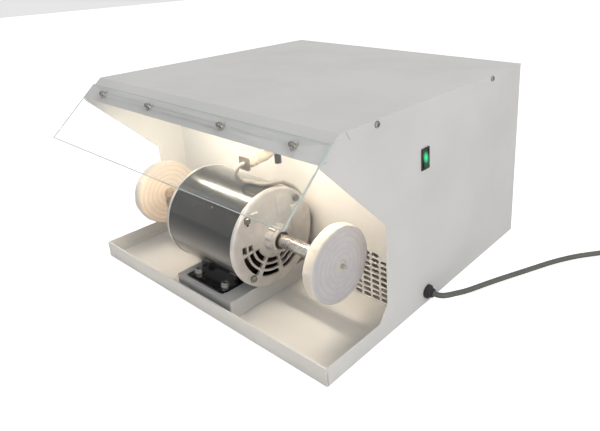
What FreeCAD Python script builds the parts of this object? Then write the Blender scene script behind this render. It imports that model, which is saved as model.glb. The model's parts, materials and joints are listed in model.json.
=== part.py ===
# Dental polishing lathe: a sheet-metal hood with its own suction, and a double-ended motor with two buffs.
# Millimetres, +Z up, +Y to the back. The origin is the middle of the underside of the base pan.
import FreeCAD, Part
import math
import os
import Sketcher

V = FreeCAD.Vector
doc = FreeCAD.newDocument("PolishingLathe")
sheet = doc.addObject("Spreadsheet::Sheet", "Sizes")
nodes = []


# Driving dimensions

class Dim:
    """A length or angle that is known both as a number and as the sheet's formula for it."""

    def __init__(self, text, value):
        self.text = text
        self.value = value

    def __add__(self, other):
        return Dim(f"({self.text} + {text(other)})", self.value + number(other))

    def __radd__(self, other):
        return Dim(f"({text(other)} + {self.text})", number(other) + self.value)

    def __sub__(self, other):
        return Dim(f"({self.text} - {text(other)})", self.value - number(other))

    def __rsub__(self, other):
        return Dim(f"({text(other)} - {self.text})", number(other) - self.value)

    def __mul__(self, other):
        return Dim(f"({self.text} * {text(other)})", self.value * number(other))

    def __rmul__(self, other):
        return Dim(f"({text(other)} * {self.text})", number(other) * self.value)

    def __truediv__(self, other):
        return Dim(f"({self.text} / {text(other)})", self.value / number(other))

    def __neg__(self):
        return Dim(f"(0 - {self.text})", -self.value)


def text(value):
    return value.text if isinstance(value, Dim) else f"({value!r})"


def number(value):
    return value.value if isinstance(value, Dim) else float(value)


def sine(angle):
    return Dim(f"sin({angle.text})", math.sin(math.radians(angle.value)))


def cosine(angle):
    return Dim(f"cos({angle.text})", math.cos(math.radians(angle.value)))


def size(alias, value, meaning):
    """Writes one driving dimension into the sheet and returns it."""
    size.row += 1
    sheet.set(f"A{size.row}", meaning)
    sheet.set(f"B{size.row}", str(value))
    sheet.setAlias(f"B{size.row}", alias)
    return Dim(f"Sizes.{alias}", float(value))


size.row = 0

# Cabinet
cabinet_width = size("cabinet_width", 610, "over the side flanges of the cover")
cabinet_depth = size("cabinet_depth", 575, "front of the base pan to the rear panel")
cabinet_height = size("cabinet_height", 360, "underside to top")
gauge = size("gauge", 1.5, "thickness of the cabinet sheet")
tray_wall = size("tray_wall", 31.4, "height of the front wall of the base pan")
tray_hem = size("tray_hem", 9, "return at the top of the front wall")
bay_depth = size("bay_depth", 200, "front to the inner back wall")
fold_depth = size("fold_depth", 49, "front to the fold of the top")
brow_slope = size("brow_slope", 42.3, "slope of the brow under the top, degrees")
brow_length = size("brow_length", 48.3, "length of the sloping brow")
brow_return = size("brow_return", 12, "return flange under the brow")
throat_depth = size("throat_depth", 141, "front to the vertical edge of the side panels")
throat_top = size("throat_top", 193, "height where that edge begins")
throat_foot = size("throat_foot", 56, "height where that edge ends")
gusset = size("gusset", 21.4, "depth of the sloping foot of that edge")
cover_flange = size("cover_flange", 14, "side flange of the cover")
cover_front = size("cover_front", 63, "front to the start of the side flange")
cover_back = size("cover_back", 8, "end of the side flange to the rear")
rim = size("rim", 12, "inner flanges of the side panels")
play = size("play", 0.3, "clearance between loosely fitted pieces")

# Shield
shield_gauge = size("shield_gauge", 3, "thickness of the glass shield")
shield_start = size("shield_start", 17, "fold to the top edge of the glass, down the slope")
shield_end = size("shield_end", 138, "fold to the bottom edge of the glass, down the slope")
shield_inset = size("shield_inset", 0.5, "side of the cabinet to the edge of the glass")
washer_gauge = size("washer_gauge", 1.5, "thickness of the shield washers")
shield_nut_height = size("shield_nut_height", 3.75, "height of the shield nuts")
stud_inner = size("stud_inner", 96, "inner shield screws from the middle")
stud_outer = size("stud_outer", 247.5, "outer shield screws from the middle")
stud_down = size("stud_down", 32.5, "shield screws from the fold, down the slope")
stud_radius = size("stud_radius", 2.5, "shield screws, M5")

# Side openings, screws, switch, gland
cover_screw_front = size("cover_screw_front", 124, "front to the first cover screw")
cover_screw_back = size("cover_screw_back", 455, "front to the second cover screw")
cover_screw_head = size("cover_screw_head", 4.2, "radius of the cover screw heads")
switch_depth = size("switch_depth", 242.5, "front to the middle of the switch")
switch_level = size("switch_level", 266.5, "height of the middle of the switch")
switch_width = size("switch_width", 21, "width of the switch bezel")
switch_tall = size("switch_tall", 36, "height of the switch bezel")
bezel_lip = size("bezel_lip", 2.2, "bezel in front of the panel")
bezel_rim = size("bezel_rim", 3, "width of the bezel's rim")
case_step = size("case_step", 1.5, "bezel beyond the switch case")
case_depth = size("case_depth", 22, "switch case behind the panel")
well_depth = size("well_depth", 12, "well of the rocker behind the panel")
tab_length = size("tab_length", 8, "length of a switch tab")
tab_width = size("tab_width", 6, "width of a switch tab")
tab_gauge = size("tab_gauge", 0.8, "thickness of a switch tab")
tab_pitch = size("tab_pitch", 9, "pitch of the switch tabs")
rocker_root = size("rocker_root", 5, "rocker behind the panel's face")
rocker_high = size("rocker_high", 4.6, "raised end of the rocker in front of the panel")
rocker_middle = size("rocker_middle", 2.4, "middle of the rocker in front of the panel")
rocker_low = size("rocker_low", 0.6, "pressed end of the rocker in front of the panel")
gland_depth = size("gland_depth", 250, "front to the cord gland")
gland_level = size("gland_level", 21.5, "height of the cord gland")
gland_radius = size("gland_radius", 11, "head of the cord gland")
gland_neck = size("gland_neck", 8, "neck of the cord gland in the panel")
gland_length = size("gland_length", 13, "gland in front of the panel")
cord_radius = size("cord_radius", 4.7, "radius of the mains cord")

# Grilles
slot_length = size("slot_length", 16, "length of a grille slot")
slot_height = size("slot_height", 7, "height of a grille slot")
slot_step_across = size("slot_step_across", 19.3, "pitch of the slots across")
slot_step_up = size("slot_step_up", 10.4, "pitch of the slots upwards")
grille_outer = size("grille_outer", 250.4, "middle to the outermost column of slots")
grille_foot = size("grille_foot", 6.5, "height of the lowest slots")

# Lathe motor
shaft_depth = size("shaft_depth", 104, "front to the shaft")
shaft_level = size("shaft_level", 122.6, "height of the shaft")
motor_radius = size("motor_radius", 86.4, "outside of the end bells")
motor_half = size("motor_half", 93.4, "middle to the face of an end bell")
shell_gauge = size("shell_gauge", 2, "thickness of the rolled shell")
bell_rim = size("bell_rim", 7.5, "rim of an end bell beyond the shell")
bell_plate = size("bell_plate", 5, "thickness of an end bell")
bell_spigot = size("bell_spigot", 6, "length of the spigot in the shell")
shaft_radius = size("shaft_radius", 8, "shaft ends, 16 mm")
journal_radius = size("journal_radius", 8.5, "shaft in the bearings")
shaft_reach = size("shaft_reach", 150, "middle to an end of the shaft")
bearing_radius = size("bearing_radius", 20, "outside of a bearing")
bearing_width = size("bearing_width", 12, "width of a bearing")
housing_radius = size("housing_radius", 26, "bearing housing in the end bell")
running = size("running", 0.04, "radial clearance of the shaft in its bearings")
core_half = size("core_half", 35, "half length of the stator core")
core_bore = size("core_bore", 46, "bore of the stator core")
air_gap = size("air_gap", 0.6, "rotor to stator")
winding_length = size("winding_length", 22, "end turns beyond the core")
ring_radius = size("ring_radius", 24, "castellated ring on the end bell")
ring_bore = size("ring_bore", 15.5, "bore of that ring")
ring_length = size("ring_length", 18, "ring in front of the bell")
bolt_circle = size("bolt_circle", 75, "circle of the through bolts")
bolt_radius = size("bolt_radius", 2.5, "through bolts")
vent_inner = size("vent_inner", 35, "inner edge of the innermost vent")
vent_step = size("vent_step", 12, "pitch of the vent rings")
vent_open = size("vent_open", 8.5, "opening of each vent ring")

cap_edge = size("cap_edge", 5, "face of an end bell to its rim, across the rounding")
cap_round = size("cap_round", 3, "depth of that rounding")
shell_step = size("shell_step", 0.8, "end bells beyond the shell")
spigot_wall = size("spigot_wall", 4, "thickness of the spigot")
ring_wall = size("ring_wall", 3.5, "teeth beyond the sleeve of the castellated ring")
ring_step = size("ring_step", 3, "sleeve of that ring beyond its teeth")
winding_gap = size("winding_gap", 3, "end turns from the bore of the core")
shaft_seat = size("shaft_seat", 10, "shaft in the rotor core")
shaft_float = size("shaft_float", 0.5, "shoulder of the shaft to its bearing")
fan_radius = size("fan_radius", 56, "outside of the motor's cooling fan")
fan_gap = size("fan_gap", 5, "cooling fan to the bearing")
vane_length = size("vane_length", 10, "length of a fan vane")
vane_gauge = size("vane_gauge", 2, "thickness of the fan and its vanes")

# Foot of the motor
riser_half = size("riser_half", 76, "middle to an end of the riser")
riser_front = size("riser_front", 13, "front to the riser")
riser_back = size("riser_back", 192, "front to the back of the riser")
riser_top = size("riser_top", 36, "height of the top of the riser")
riser_bend = size("riser_bend", 3, "rounding of the riser's edges")
opening_left = size("opening_left", 62, "middle to the left edge of the riser's opening")
opening_right = size("opening_right", 46, "middle to the right edge of the riser's opening")
opening_rim = size("opening_rim", 7, "frame of the opening, front and back")
opening_corner = size("opening_corner", 9, "corner radius of the opening")
foot_gauge = size("foot_gauge", 4, "thickness of the foot plate")
foot_drop = size("foot_drop", 2, "foot plate below the top of the riser")
foot_middle = size("foot_middle", 12, "middle of the motor to the middle of its foot")
foot_half = size("foot_half", 50, "half length of the foot plate along the shaft")
foot_deep = size("foot_deep", 76, "foot plate from the shaft, front and back")
foot_hole_across = size("foot_hole_across", 38, "foot bolts from the middle of the foot, along the shaft")
foot_hole_deep = size("foot_hole_deep", 62, "foot bolts from the shaft, front and back")
foot_bolt = size("foot_bolt", 4, "radius of the foot bolts")
leg_deep = size("leg_deep", 48, "legs of the foot from the shaft, front and back")
leg_gauge = size("leg_gauge", 4, "thickness of a leg")
leg_height = size("leg_height", 22, "legs of the foot before the shell is cut out of them")
rail_width = size("rail_width", 24, "width of a rail under the foot plate")
riser_gauge = size("riser_gauge", 1.95, "sheet of the riser and the rails")
foot_washer = size("foot_washer", 1.6, "thickness of a foot washer")
foot_washer_radius = size("foot_washer_radius", 7.6, "radius of a foot washer")
foot_head_radius = size("foot_head_radius", 6.8, "radius of a foot bolt's head and nut")
foot_head_height = size("foot_head_height", 5.2, "height of a foot bolt's head")
foot_nut_height = size("foot_nut_height", 6, "height of a foot nut")
foot_bolt_end = size("foot_bolt_end", 3, "foot bolt beyond its nut")

# Spindles and buffs
spindle_radius = size("spindle_radius", 11.5, "body of a spindle")
spindle_start = size("spindle_start", 100, "middle to the inner end of a spindle")
spindle_tip = size("spindle_tip", 256, "middle to the tip of a spindle")
spindle_tip_radius = size("spindle_tip_radius", 2.5, "tip of the tapered screw")
buff_middle = size("buff_middle", 233.5, "middle to the middle of a buff")
buff_radius = size("buff_radius", 64.5, "radius of a buff")
buff_width = size("buff_width", 23, "width of a buff")
buff_hub = size("buff_hub", 9, "radius of the glued centre of a buff")
buff_crown = size("buff_crown", 0.8, "crown of a buff's rim")
buff_shoulder = size("buff_shoulder", 3, "rim of a buff to the shoulder of its face")
buff_bevel = size("buff_bevel", 3.5, "width of the bevels of a buff's face")
buff_step = size("buff_step", 1, "face of a buff below its hub")
tip_flat = size("tip_flat", 1, "radius of the flat end of a spindle")
tip_length = size("tip_length", 3, "length of a spindle's point")
spindle_edge = size("spindle_edge", 2, "bevel of a spindle's inner end")
set_screw_inset = size("set_screw_inset", 12, "inner end of a spindle to its set screw")
set_screw_radius = size("set_screw_radius", 3, "radius of a set screw")
set_screw_proud = size("set_screw_proud", 1.5, "set screw beyond the spindle")

# Hood lead and its connector
plug_across = size("plug_across", 40, "middle to the lathe's plug")
plug_depth = size("plug_depth", 98, "front to the lathe's plug")
plug_level = size("plug_level", 245, "height of the lathe's plug")
lead_radius = size("lead_radius", 3.5, "radius of the lathe's lead")
plate_half = size("plate_half", 12, "half the side of the plug's square plate")
plate_gauge = size("plate_gauge", 4, "thickness of that plate and of its rounded corners")
socket_radius = size("socket_radius", 9, "radius of the hanging socket")
socket_length = size("socket_length", 44, "straight part of the hanging socket")
socket_taper = size("socket_taper", 14, "tapered part of the hanging socket")
socket_end = size("socket_end", 5, "radius of the socket's end")
rib_height = size("rib_height", 1.5, "grip ribs of the socket")
rib_width = size("rib_width", 4, "width of a grip rib")
rib_pitch = size("rib_pitch", 9, "pitch of the grip ribs")
tail_radius = size("tail_radius", 4, "rod between the socket and its boot")
ceiling_depth = size("ceiling_depth", 172, "front to the lead that comes down from the ceiling")
boot_radius = size("boot_radius", 6, "radius of the socket's boot")
boot_below = size("boot_below", 22, "boot below the middle of the socket")
boot_above = size("boot_above", 6, "straight part of the boot above the middle of the socket")
boot_neck = size("boot_neck", 10, "tapered part of the boot")
boot_wall = size("boot_wall", 1, "wall of the boot where the lead goes in")
grommet_radius = size("grommet_radius", 9, "radius of the ceiling grommet")
grommet_length = size("grommet_length", 6, "length of both grommets")
lead_offset = size("lead_offset", 36, "lead out of the shell from the line of the plug")

# Hood lamp
lamp_radius = size("lamp_radius", 8, "tube of the hood lamp")
lamp_half = size("lamp_half", 210, "half length of the lamp tube")
lamp_depth = size("lamp_depth", 84, "front to the lamp")
lamp_tray = size("lamp_tray", 22, "half width of the lamp channel")
lamp_drop = size("lamp_drop", 14, "depth of the lamp channel")
lamp_space = size("lamp_space", 4, "channel to the lamp tube")
lamp_socket = size("lamp_socket", 12, "length of a lamp socket")
socket_wall = size("socket_wall", 2, "lamp socket round the tube")

# Suction
filter_gap = size("filter_gap", 62, "inner back wall to the filter")
filter_depth = size("filter_depth", 22, "depth of the filter cassette")
filter_side = size("filter_side", 22, "side panel to the filter cassette")
filter_border = size("filter_border", 14, "border of the filter cassette")
filter_wall = size("filter_wall", 3, "sheet of the filter cassette")
guide_width = size("guide_width", 4.5, "width of a filter guide")
filter_height = size("filter_height", 300, "height of the filter cassette")
blower_depth = size("blower_depth", 400, "front to the axis of the blower")
blower_level = size("blower_level", 152, "height of the axis of the blower")
blower_across = size("blower_across", -40, "middle of the cabinet to the middle of the scroll")
scroll_radius = size("scroll_radius", 112, "outside of the scroll")
scroll_width = size("scroll_width", 96, "width of the scroll")
scroll_gauge = size("scroll_gauge", 2, "sheet of the scroll")
duct_height = size("duct_height", 78, "height of the outlet duct")
impeller_radius = size("impeller_radius", 88, "outside of the impeller")
impeller_width = size("impeller_width", 62, "width of the impeller")
inlet_radius = size("inlet_radius", 66, "inlet of the scroll")
fan_motor_radius = size("fan_motor_radius", 46, "blower motor")
fan_motor_length = size("fan_motor_length", 88, "blower motor")
fan_shaft = size("fan_shaft", 5, "shaft of the blower motor")
fan_boss = size("fan_boss", 15, "radius of the impeller's boss and of the scroll's eye")
boss_length = size("boss_length", 24, "length of the impeller's boss")
impeller_sheet = size("impeller_sheet", 2, "sheet of the impeller")
blade_deep = size("blade_deep", 16, "depth of an impeller blade")
lip_width = size("lip_width", 12, "ring at the mouth of the impeller")
stand_half = size("stand_half", 62, "half length of a stand")
stand_height = size("stand_height", 58, "height of a stand")
stand_gauge = size("stand_gauge", 4, "plate of a stand")
stand_shoe = size("stand_shoe", 20, "width of a stand's shoe")
stand_offset = size("stand_offset", 32, "stands from the middle of the scroll")
capacitor_radius = size("capacitor_radius", 18, "radius of the run capacitor")
capacitor_height = size("capacitor_height", 62, "height of the run capacitor")
capacitor_side = size("capacitor_side", 88.5, "side panel to the run capacitor")

# Plug of the mains cord
sleeve_length = size("sleeve_length", 22, "tapered sleeve of the plug")
sleeve_start = size("sleeve_start", 5.5, "radius of the sleeve at the cord")
sleeve_end = size("sleeve_end", 8.7, "radius of the sleeve at the grip")
grip_length = size("grip_length", 26, "grip of the plug")
grip_half_wide = size("grip_half_wide", 12, "half width of the grip")
grip_half_tall = size("grip_half_tall", 13, "half height of the grip")
grip_corner = size("grip_corner", 6, "rounding of the grip")
blade_long = size("blade_long", 17, "length of a flat blade")
blade_gauge = size("blade_gauge", 1.6, "thickness of a flat blade")
blade_tall = size("blade_tall", 6.4, "height of a flat blade")
blade_offset = size("blade_offset", 6.4, "flat blades from the middle of the plug")
blade_drop = size("blade_drop", 0.5, "flat blades below the middle of the plug")
earth_radius = size("earth_radius", 2.4, "radius of the earth pin")
earth_long = size("earth_long", 20, "length of the earth pin")
earth_drop = size("earth_drop", 7, "earth pin below the middle of the plug")
doc.recompute()

half_width = cabinet_width / 2
front = -(cabinet_depth / 2)
panel_face = half_width - gauge
floor_top = gauge
shaft_y = front + shaft_depth


# Ways of making a piece

def bind(made, path, value):
    """Ties one property to the sheet."""
    made.setExpression(path, text(value))


def place(made, x=0, y=0, z=0):
    """Puts an object at a place that follows the sheet."""
    for letter, value in zip("xyz", (x, y, z)):
        bind(made, f"Placement.Base.{letter}", value)
    return made


def box(name, low, lengths):
    made = doc.addObject("Part::Box", name)
    for path, value in zip(("Length", "Width", "Height"), lengths):
        bind(made, path, value)
    return place(made, *low)


TURNS = {"x": V(0, 1, 0), "y": V(1, 0, 0), "z": V(0, 0, 1)}


def rod(name, along, start, radius, length):
    """A cylinder from its start towards +X, +Y or +Z."""
    made = doc.addObject("Part::Cylinder", name)
    bind(made, "Radius", radius)
    bind(made, "Height", length)
    angle = {"x": 90, "y": -90, "z": 0}[along]
    made.Placement = FreeCAD.Placement(V(), FreeCAD.Rotation(TURNS[along], angle))
    return place(made, *start)


def cone(name, along, start, first, last, length):
    made = doc.addObject("Part::Cone", name)
    bind(made, "Radius1", first)
    bind(made, "Radius2", last)
    bind(made, "Height", length)
    angle = {"x": 90, "y": -90, "z": 0}[along]
    made.Placement = FreeCAD.Placement(V(), FreeCAD.Rotation(TURNS[along], angle))
    return place(made, *start)


def together(name, pieces):
    made = doc.addObject("Part::Compound", name)
    made.Links = pieces
    return made


def fused(name, pieces):
    made = doc.addObject("Part::MultiFuse", name)
    made.Shapes = pieces
    made.Refine = True
    return made


def cut(name, base, tools):
    made = doc.addObject("Part::Cut", name)
    made.Base = base
    made.Tool = tools[0] if len(tools) == 1 else together(name + "_tools", tools)
    made.Refine = True
    return made


def body(name):
    return doc.addObject("PartDesign::Body", name)


def sketch(made, name, plane, offset=0):
    """A sketch on one of the body's own planes, moved along that plane's normal."""
    drawn = made.newObject("Sketcher::SketchObject", name)
    origin_plane = [one for one in made.Origin.OriginFeatures if one.Role == plane + "_Plane"][0]
    drawn.AttachmentSupport = (origin_plane, [""])
    drawn.MapMode = "FlatFace"
    bind(drawn, "AttachmentOffset.Base.z", offset)
    return drawn


def pin_one(drawn, kind, element, end, value):
    """Holds one point of a sketch at one distance from the sketch's origin."""
    index = drawn.addConstraint(Sketcher.Constraint(kind, -1, 1, element, end, number(value)))
    bind(drawn, f"Constraints[{index}]", value)


def pin(drawn, element, end, point):
    pin_one(drawn, "DistanceX", element, end, point[0])
    pin_one(drawn, "DistanceY", element, end, point[1])


def outline(drawn, points):
    """A closed outline of straight lines, each corner held by the sheet."""
    corners = [V(number(x), number(y), 0) for x, y in points]
    first = drawn.GeometryCount
    count = len(corners)
    for index in range(count):
        drawn.addGeometry(Part.LineSegment(corners[index], corners[(index + 1) % count]), False)
    for index in range(count):
        after = first + (index + 1) % count
        drawn.addConstraint(Sketcher.Constraint("Coincident", first + index, 2, after, 1))
    for index, point in enumerate(points):
        pin(drawn, first + index, 1, point)


def circle(drawn, centre, radius):
    middle = V(number(centre[0]), number(centre[1]), 0)
    element = drawn.addGeometry(Part.Circle(middle, V(0, 0, 1), number(radius)), False)
    index = drawn.addConstraint(Sketcher.Constraint("Radius", element, number(radius)))
    bind(drawn, f"Constraints[{index}]", radius)
    pin(drawn, element, 3, centre)


def pad(made, drawn, name, length):
    feature = made.newObject("PartDesign::Pad", name)
    feature.Profile = drawn
    bind(feature, "Length", length)
    return feature


def pocket(made, drawn, name):
    """A hole right through the body, both ways from its sketch."""
    feature = made.newObject("PartDesign::Pocket", name)
    feature.Profile = drawn
    feature.Type = 1
    feature.Midplane = True
    return feature


def turned(name, points, start=(0, shaft_y, shaft_level)):
    """A ring or pin turned round an axis along X: each point is a place along it and a radius."""
    made = body(name)
    drawn = sketch(made, name + "_profile", "XY")
    outline(drawn, points)
    feature = made.newObject("PartDesign::Revolution", name + "_turning")
    feature.Profile = drawn
    feature.ReferenceAxis = (drawn, ["H_Axis"])
    feature.Angle = 360
    place(made, *start)
    return made


def ring(name, low, high, inner, outer, start=(0, shaft_y, shaft_level)):
    return turned(name, [(low, inner), (high, inner), (high, outer), (low, outer)], start)


def extruded(name, plane, points, low, length, holes=()):
    """A flat outline on a plane, made solid from low, with round holes."""
    made = body(name)
    drawn = sketch(made, name + "_outline", plane, low)
    outline(drawn, points)
    for centre, radius in holes:
        circle(drawn, centre, radius)
    pad(made, drawn, name + "_pad", length)
    return made


def tube(name, points, radii, radius):
    """A lead along straight runs joined by tangent arcs."""
    corners = [V(*point) for point in points]
    edges = []
    here = corners[0]
    for index in range(1, len(corners) - 1):
        corner = corners[index]
        before = (corner - corners[index - 1]).normalize()
        after = (corners[index + 1] - corner).normalize()
        half_turn = before.getAngle(after) / 2
        reach = radii[index - 1] * math.tan(half_turn)
        start = corner - before * reach
        end = corner + after * reach
        bisector = (after - before).normalize()
        centre_distance = (radii[index - 1] ** 2 + reach ** 2) ** 0.5
        middle = corner + bisector * (centre_distance - radii[index - 1])
        edges.append(Part.LineSegment(here, start).toShape())
        edges.append(Part.Arc(start, middle, end).toShape())
        here = end
    edges.append(Part.LineSegment(here, corners[-1]).toShape())
    path = Part.Wire(edges)
    direction = corners[1] - corners[0]
    profile = Part.Wire(Part.Circle(corners[0], direction, radius).toShape())
    made = doc.addObject("Part::Feature", name)
    made.Shape = path.makePipeShell([profile], True, False, 2)
    ratio = made.Shape.Volume / (math.pi * radius ** 2 * path.Length)
    print(name, "length", round(path.Length, 1), "volume ratio", round(ratio, 4), "radii",
          [round(value, 1) for value in radii])
    return made


def arc_radii(points, largest):
    """For each corner the radius that its two runs allow."""
    found = []
    for index in range(1, len(points) - 1):
        before = V(*points[index]) - V(*points[index - 1])
        after = V(*points[index + 1]) - V(*points[index])
        half_turn = before.getAngle(after) / 2
        room = 0.45 * min(before.Length, after.Length)
        found.append(min(room / math.tan(half_turn), largest))
    return found


def keep(made, name=None):
    """Marks a piece as one of the object's own."""
    if name:
        made.Label = name
    nodes.append(made)
    return made


# Cabinet

slope_sine = sine(brow_slope)
slope_cosine = cosine(brow_slope)
lip_y = front + fold_depth - brow_length * slope_cosine
lip_z = cabinet_height - brow_length * slope_sine
inner_half = panel_face - gauge
rear = front + cabinet_depth
wall_back = front + gauge * 2
under_top = cabinet_height - gauge
fold_y = front + fold_depth


def on_slope(across, down, out):
    """A place on the brow: across, down the slope from the fold, and out from its face."""
    y = fold_y - down * slope_cosine - out * slope_sine
    z = cabinet_height - down * slope_sine + out * slope_cosine
    return across, y, z


def slope_rod(name, across, down, out, radius, length):
    """A round piece that stands square on the brow."""
    made = doc.addObject("Part::Cylinder", name)
    bind(made, "Radius", radius)
    bind(made, "Height", length)
    made.Placement = FreeCAD.Placement(V(), FreeCAD.Rotation(V(1, 0, 0), 1))
    bind(made, "Placement.Rotation.Angle", brow_slope)
    return place(made, *on_slope(across, down, out))


def base_pan():
    made = body("base_pan_sheet")
    floor = sketch(made, "pan_floor", "YZ", -inner_half)
    outline(floor, [(wall_back, 0), (rear - gauge, 0), (rear - gauge, floor_top), (wall_back, floor_top)])
    pad(made, floor, "pan_floor_pad", inner_half * 2)
    wall = sketch(made, "pan_wall", "YZ", -panel_face)
    hem_foot = tray_wall - tray_hem
    outline(wall, [(front, 0), (front, tray_wall), (wall_back, tray_wall), (wall_back, hem_foot),
                   (front + gauge, hem_foot), (front + gauge, floor_top), (wall_back, floor_top),
                   (wall_back, 0)])
    pad(made, wall, "pan_wall_pad", panel_face * 2)
    for side, low in (("left", -inner_half), ("right", inner_half - gauge)):
        flange = sketch(made, f"pan_flange_{side}", "YZ", low)
        outline(flange, [(wall_back, floor_top), (rear - gauge, floor_top), (rear - gauge, rim),
                         (wall_back, rim)])
        pad(made, flange, f"pan_flange_{side}_pad", gauge)
    keep(made, "base_pan")


inner_lip = lip_y + gauge * slope_sine + gauge * (1 + slope_cosine) * slope_cosine / slope_sine
flange_end = lip_y + brow_return


def side_panel_points():
    """The outline of a side panel, which follows the inside of the cover and its brow."""
    return [(wall_back, 0), (rear, 0), (rear, under_top), (fold_y + gauge / 2, under_top),
            (inner_lip, lip_z + gauge), (flange_end, lip_z + gauge), (flange_end, lip_z), (lip_y, lip_z),
            (lip_y, lip_z - gauge * 3), (front + throat_depth, throat_top),
            (front + throat_depth, throat_foot), (front + throat_depth - gusset, tray_wall),
            (wall_back, tray_wall)]


screw_level = cabinet_height - cover_flange / 2
screw_places = [front + cover_screw_front, front + cover_screw_back]
screw_shank = cover_screw_head / 2


def side_panels():
    holes = [((y, screw_level), screw_shank) for y in screw_places]
    left = extruded("left_side_panel_sheet", "YZ", side_panel_points(), -panel_face, gauge, holes)
    keep(left, "left_side_panel")
    gland_hole = ((front + gland_depth, gland_level), gland_neck)
    right = extruded("right_side_panel_sheet", "YZ", side_panel_points(), inner_half, gauge,
                     holes + [gland_hole])
    window = box("switch_window", (inner_half - gauge, front + switch_depth - switch_width / 2 + case_step,
                                   switch_level - switch_tall / 2 + case_step),
                 (gauge * 3, switch_width - case_step * 2, switch_tall - case_step * 2))
    keep(cut("right_side_panel_cut", right, [window]), "right_side_panel")


def top_cover():
    made = body("top_cover_sheet")
    section = sketch(made, "cover_section", "YZ", -half_width)
    outline(section, [(rear, cabinet_height), (fold_y, cabinet_height), (lip_y, lip_z), (flange_end, lip_z),
                      (flange_end, lip_z + gauge), (inner_lip, lip_z + gauge),
                      (fold_y + gauge / 2, under_top), (rear, under_top)])
    pad(made, section, "cover_section_pad", half_width * 2)
    for side, low in (("left", -half_width), ("right", panel_face)):
        flange = sketch(made, f"cover_flange_{side}", "YZ", low)
        flange_foot = cabinet_height - cover_flange
        start = front + cover_front
        stop = rear - cover_back
        outline(flange, [(start + cover_flange / 2, flange_foot), (stop, flange_foot), (stop, under_top),
                         (start, under_top)])
        for y in screw_places:
            circle(flange, (y, screw_level), screw_shank)
        pad(made, flange, f"cover_flange_{side}_pad", gauge)
    holes = [slope_rod(f"stud_hole_{index}", across, stud_down, -gauge * 2, stud_radius, gauge * 3)
             for index, across in enumerate(stud_places)]
    keep(cut("top_cover_cut", made, holes), "top_cover")


stud_places = [-stud_outer, -stud_inner, stud_inner, stud_outer]


def cover_screws():
    screws = []
    for side in (-1, 1):
        for index, y in enumerate(screw_places):
            label = f"{'left' if side < 0 else 'right'}_{index}"
            head_length = screw_shank
            shank_start = inner_half if side > 0 else -half_width
            head_start = half_width if side > 0 else -half_width - head_length
            shank = rod(f"cover_screw_shank_{label}", "x", (shank_start, y, screw_level), screw_shank,
                        gauge * 2)
            head = rod(f"cover_screw_head_{label}", "x", (head_start, y, screw_level), cover_screw_head,
                       head_length)
            screws.append(fused(f"cover_screw_{label}", [shank, head]))
    for side in (-1, 1):
        for level in (1, 2, 3):
            place_x = side * (inner_half - rim)
            screws.append(rod(f"rear_screw_{level}_{'left' if side < 0 else 'right'}", "y",
                              (place_x, rear, cabinet_height * level / 4), cover_screw_head, screw_shank))
    keep(together("cabinet_screws", screws))


def slot_outline(drawn, across, up):
    """One oblong hole with round ends, its long side along the sketch's first axis."""
    straight = (slot_length - slot_height) / 2
    radius = slot_height / 2
    left = V(number(across - straight), number(up), 0)
    right = V(number(across + straight), number(up), 0)
    rise = V(0, number(radius), 0)
    first = drawn.GeometryCount
    quarter = math.pi / 2
    drawn.addGeometry(Part.LineSegment(left - rise, right - rise), False)
    drawn.addGeometry(Part.ArcOfCircle(Part.Circle(right, V(0, 0, 1), rise.y), -quarter, quarter), False)
    drawn.addGeometry(Part.LineSegment(right + rise, left + rise), False)
    drawn.addGeometry(Part.ArcOfCircle(Part.Circle(left, V(0, 0, 1), rise.y), quarter, 3 * quarter), False)
    for here, end, there, start in ((0, 2, 1, 1), (1, 2, 2, 1), (2, 2, 3, 1), (3, 2, 0, 1)):
        drawn.addConstraint(Sketcher.Constraint("Coincident", first + here, end, first + there, start))
    corners = ((0, 1, across - straight, up - radius), (0, 2, across + straight, up - radius),
               (2, 1, across + straight, up + radius), (2, 2, across - straight, up + radius))
    for element, end, x, y in corners:
        pin(drawn, first + element, end, (x, y))
    pin_one(drawn, "DistanceX", first + 1, 3, across + straight)
    pin_one(drawn, "DistanceX", first + 3, 3, across - straight)


def linear_pattern(made, name, drawn, axis, length, count):
    pattern = made.newObject("PartDesign::LinearPattern", name)
    pattern.Direction = (drawn, [axis])
    bind(pattern, "Length", length)
    pattern.Occurrences = count
    return pattern


def slotted(made, name, drawn, columns, rows, step_across, step_up, mirrored):
    """Cuts one slot and repeats it across, up and, where asked, on the other side of the middle."""
    hole = pocket(made, drawn, name + "_slot")
    doc.recompute()
    multi = made.newObject("PartDesign::MultiTransform", name)
    multi.Originals = [hole]
    steps = []
    if columns > 1:
        length = step_across * (columns - 1)
        steps.append(linear_pattern(made, name + "_columns", drawn, "H_Axis", length, columns))
    if rows > 1:
        length = step_up * (rows - 1)
        steps.append(linear_pattern(made, name + "_rows", drawn, "V_Axis", length, rows))
    if mirrored:
        mirror = made.newObject("PartDesign::Mirrored", name + "_mirror")
        mirror.MirrorPlane = (drawn, ["V_Axis"])
        steps.append(mirror)
    multi.Transformations = steps
    made.Tip = multi
    doc.recompute()
    return multi


GRILLE_COLUMNS = 5
GRILLE_ROWS = 9


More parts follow.
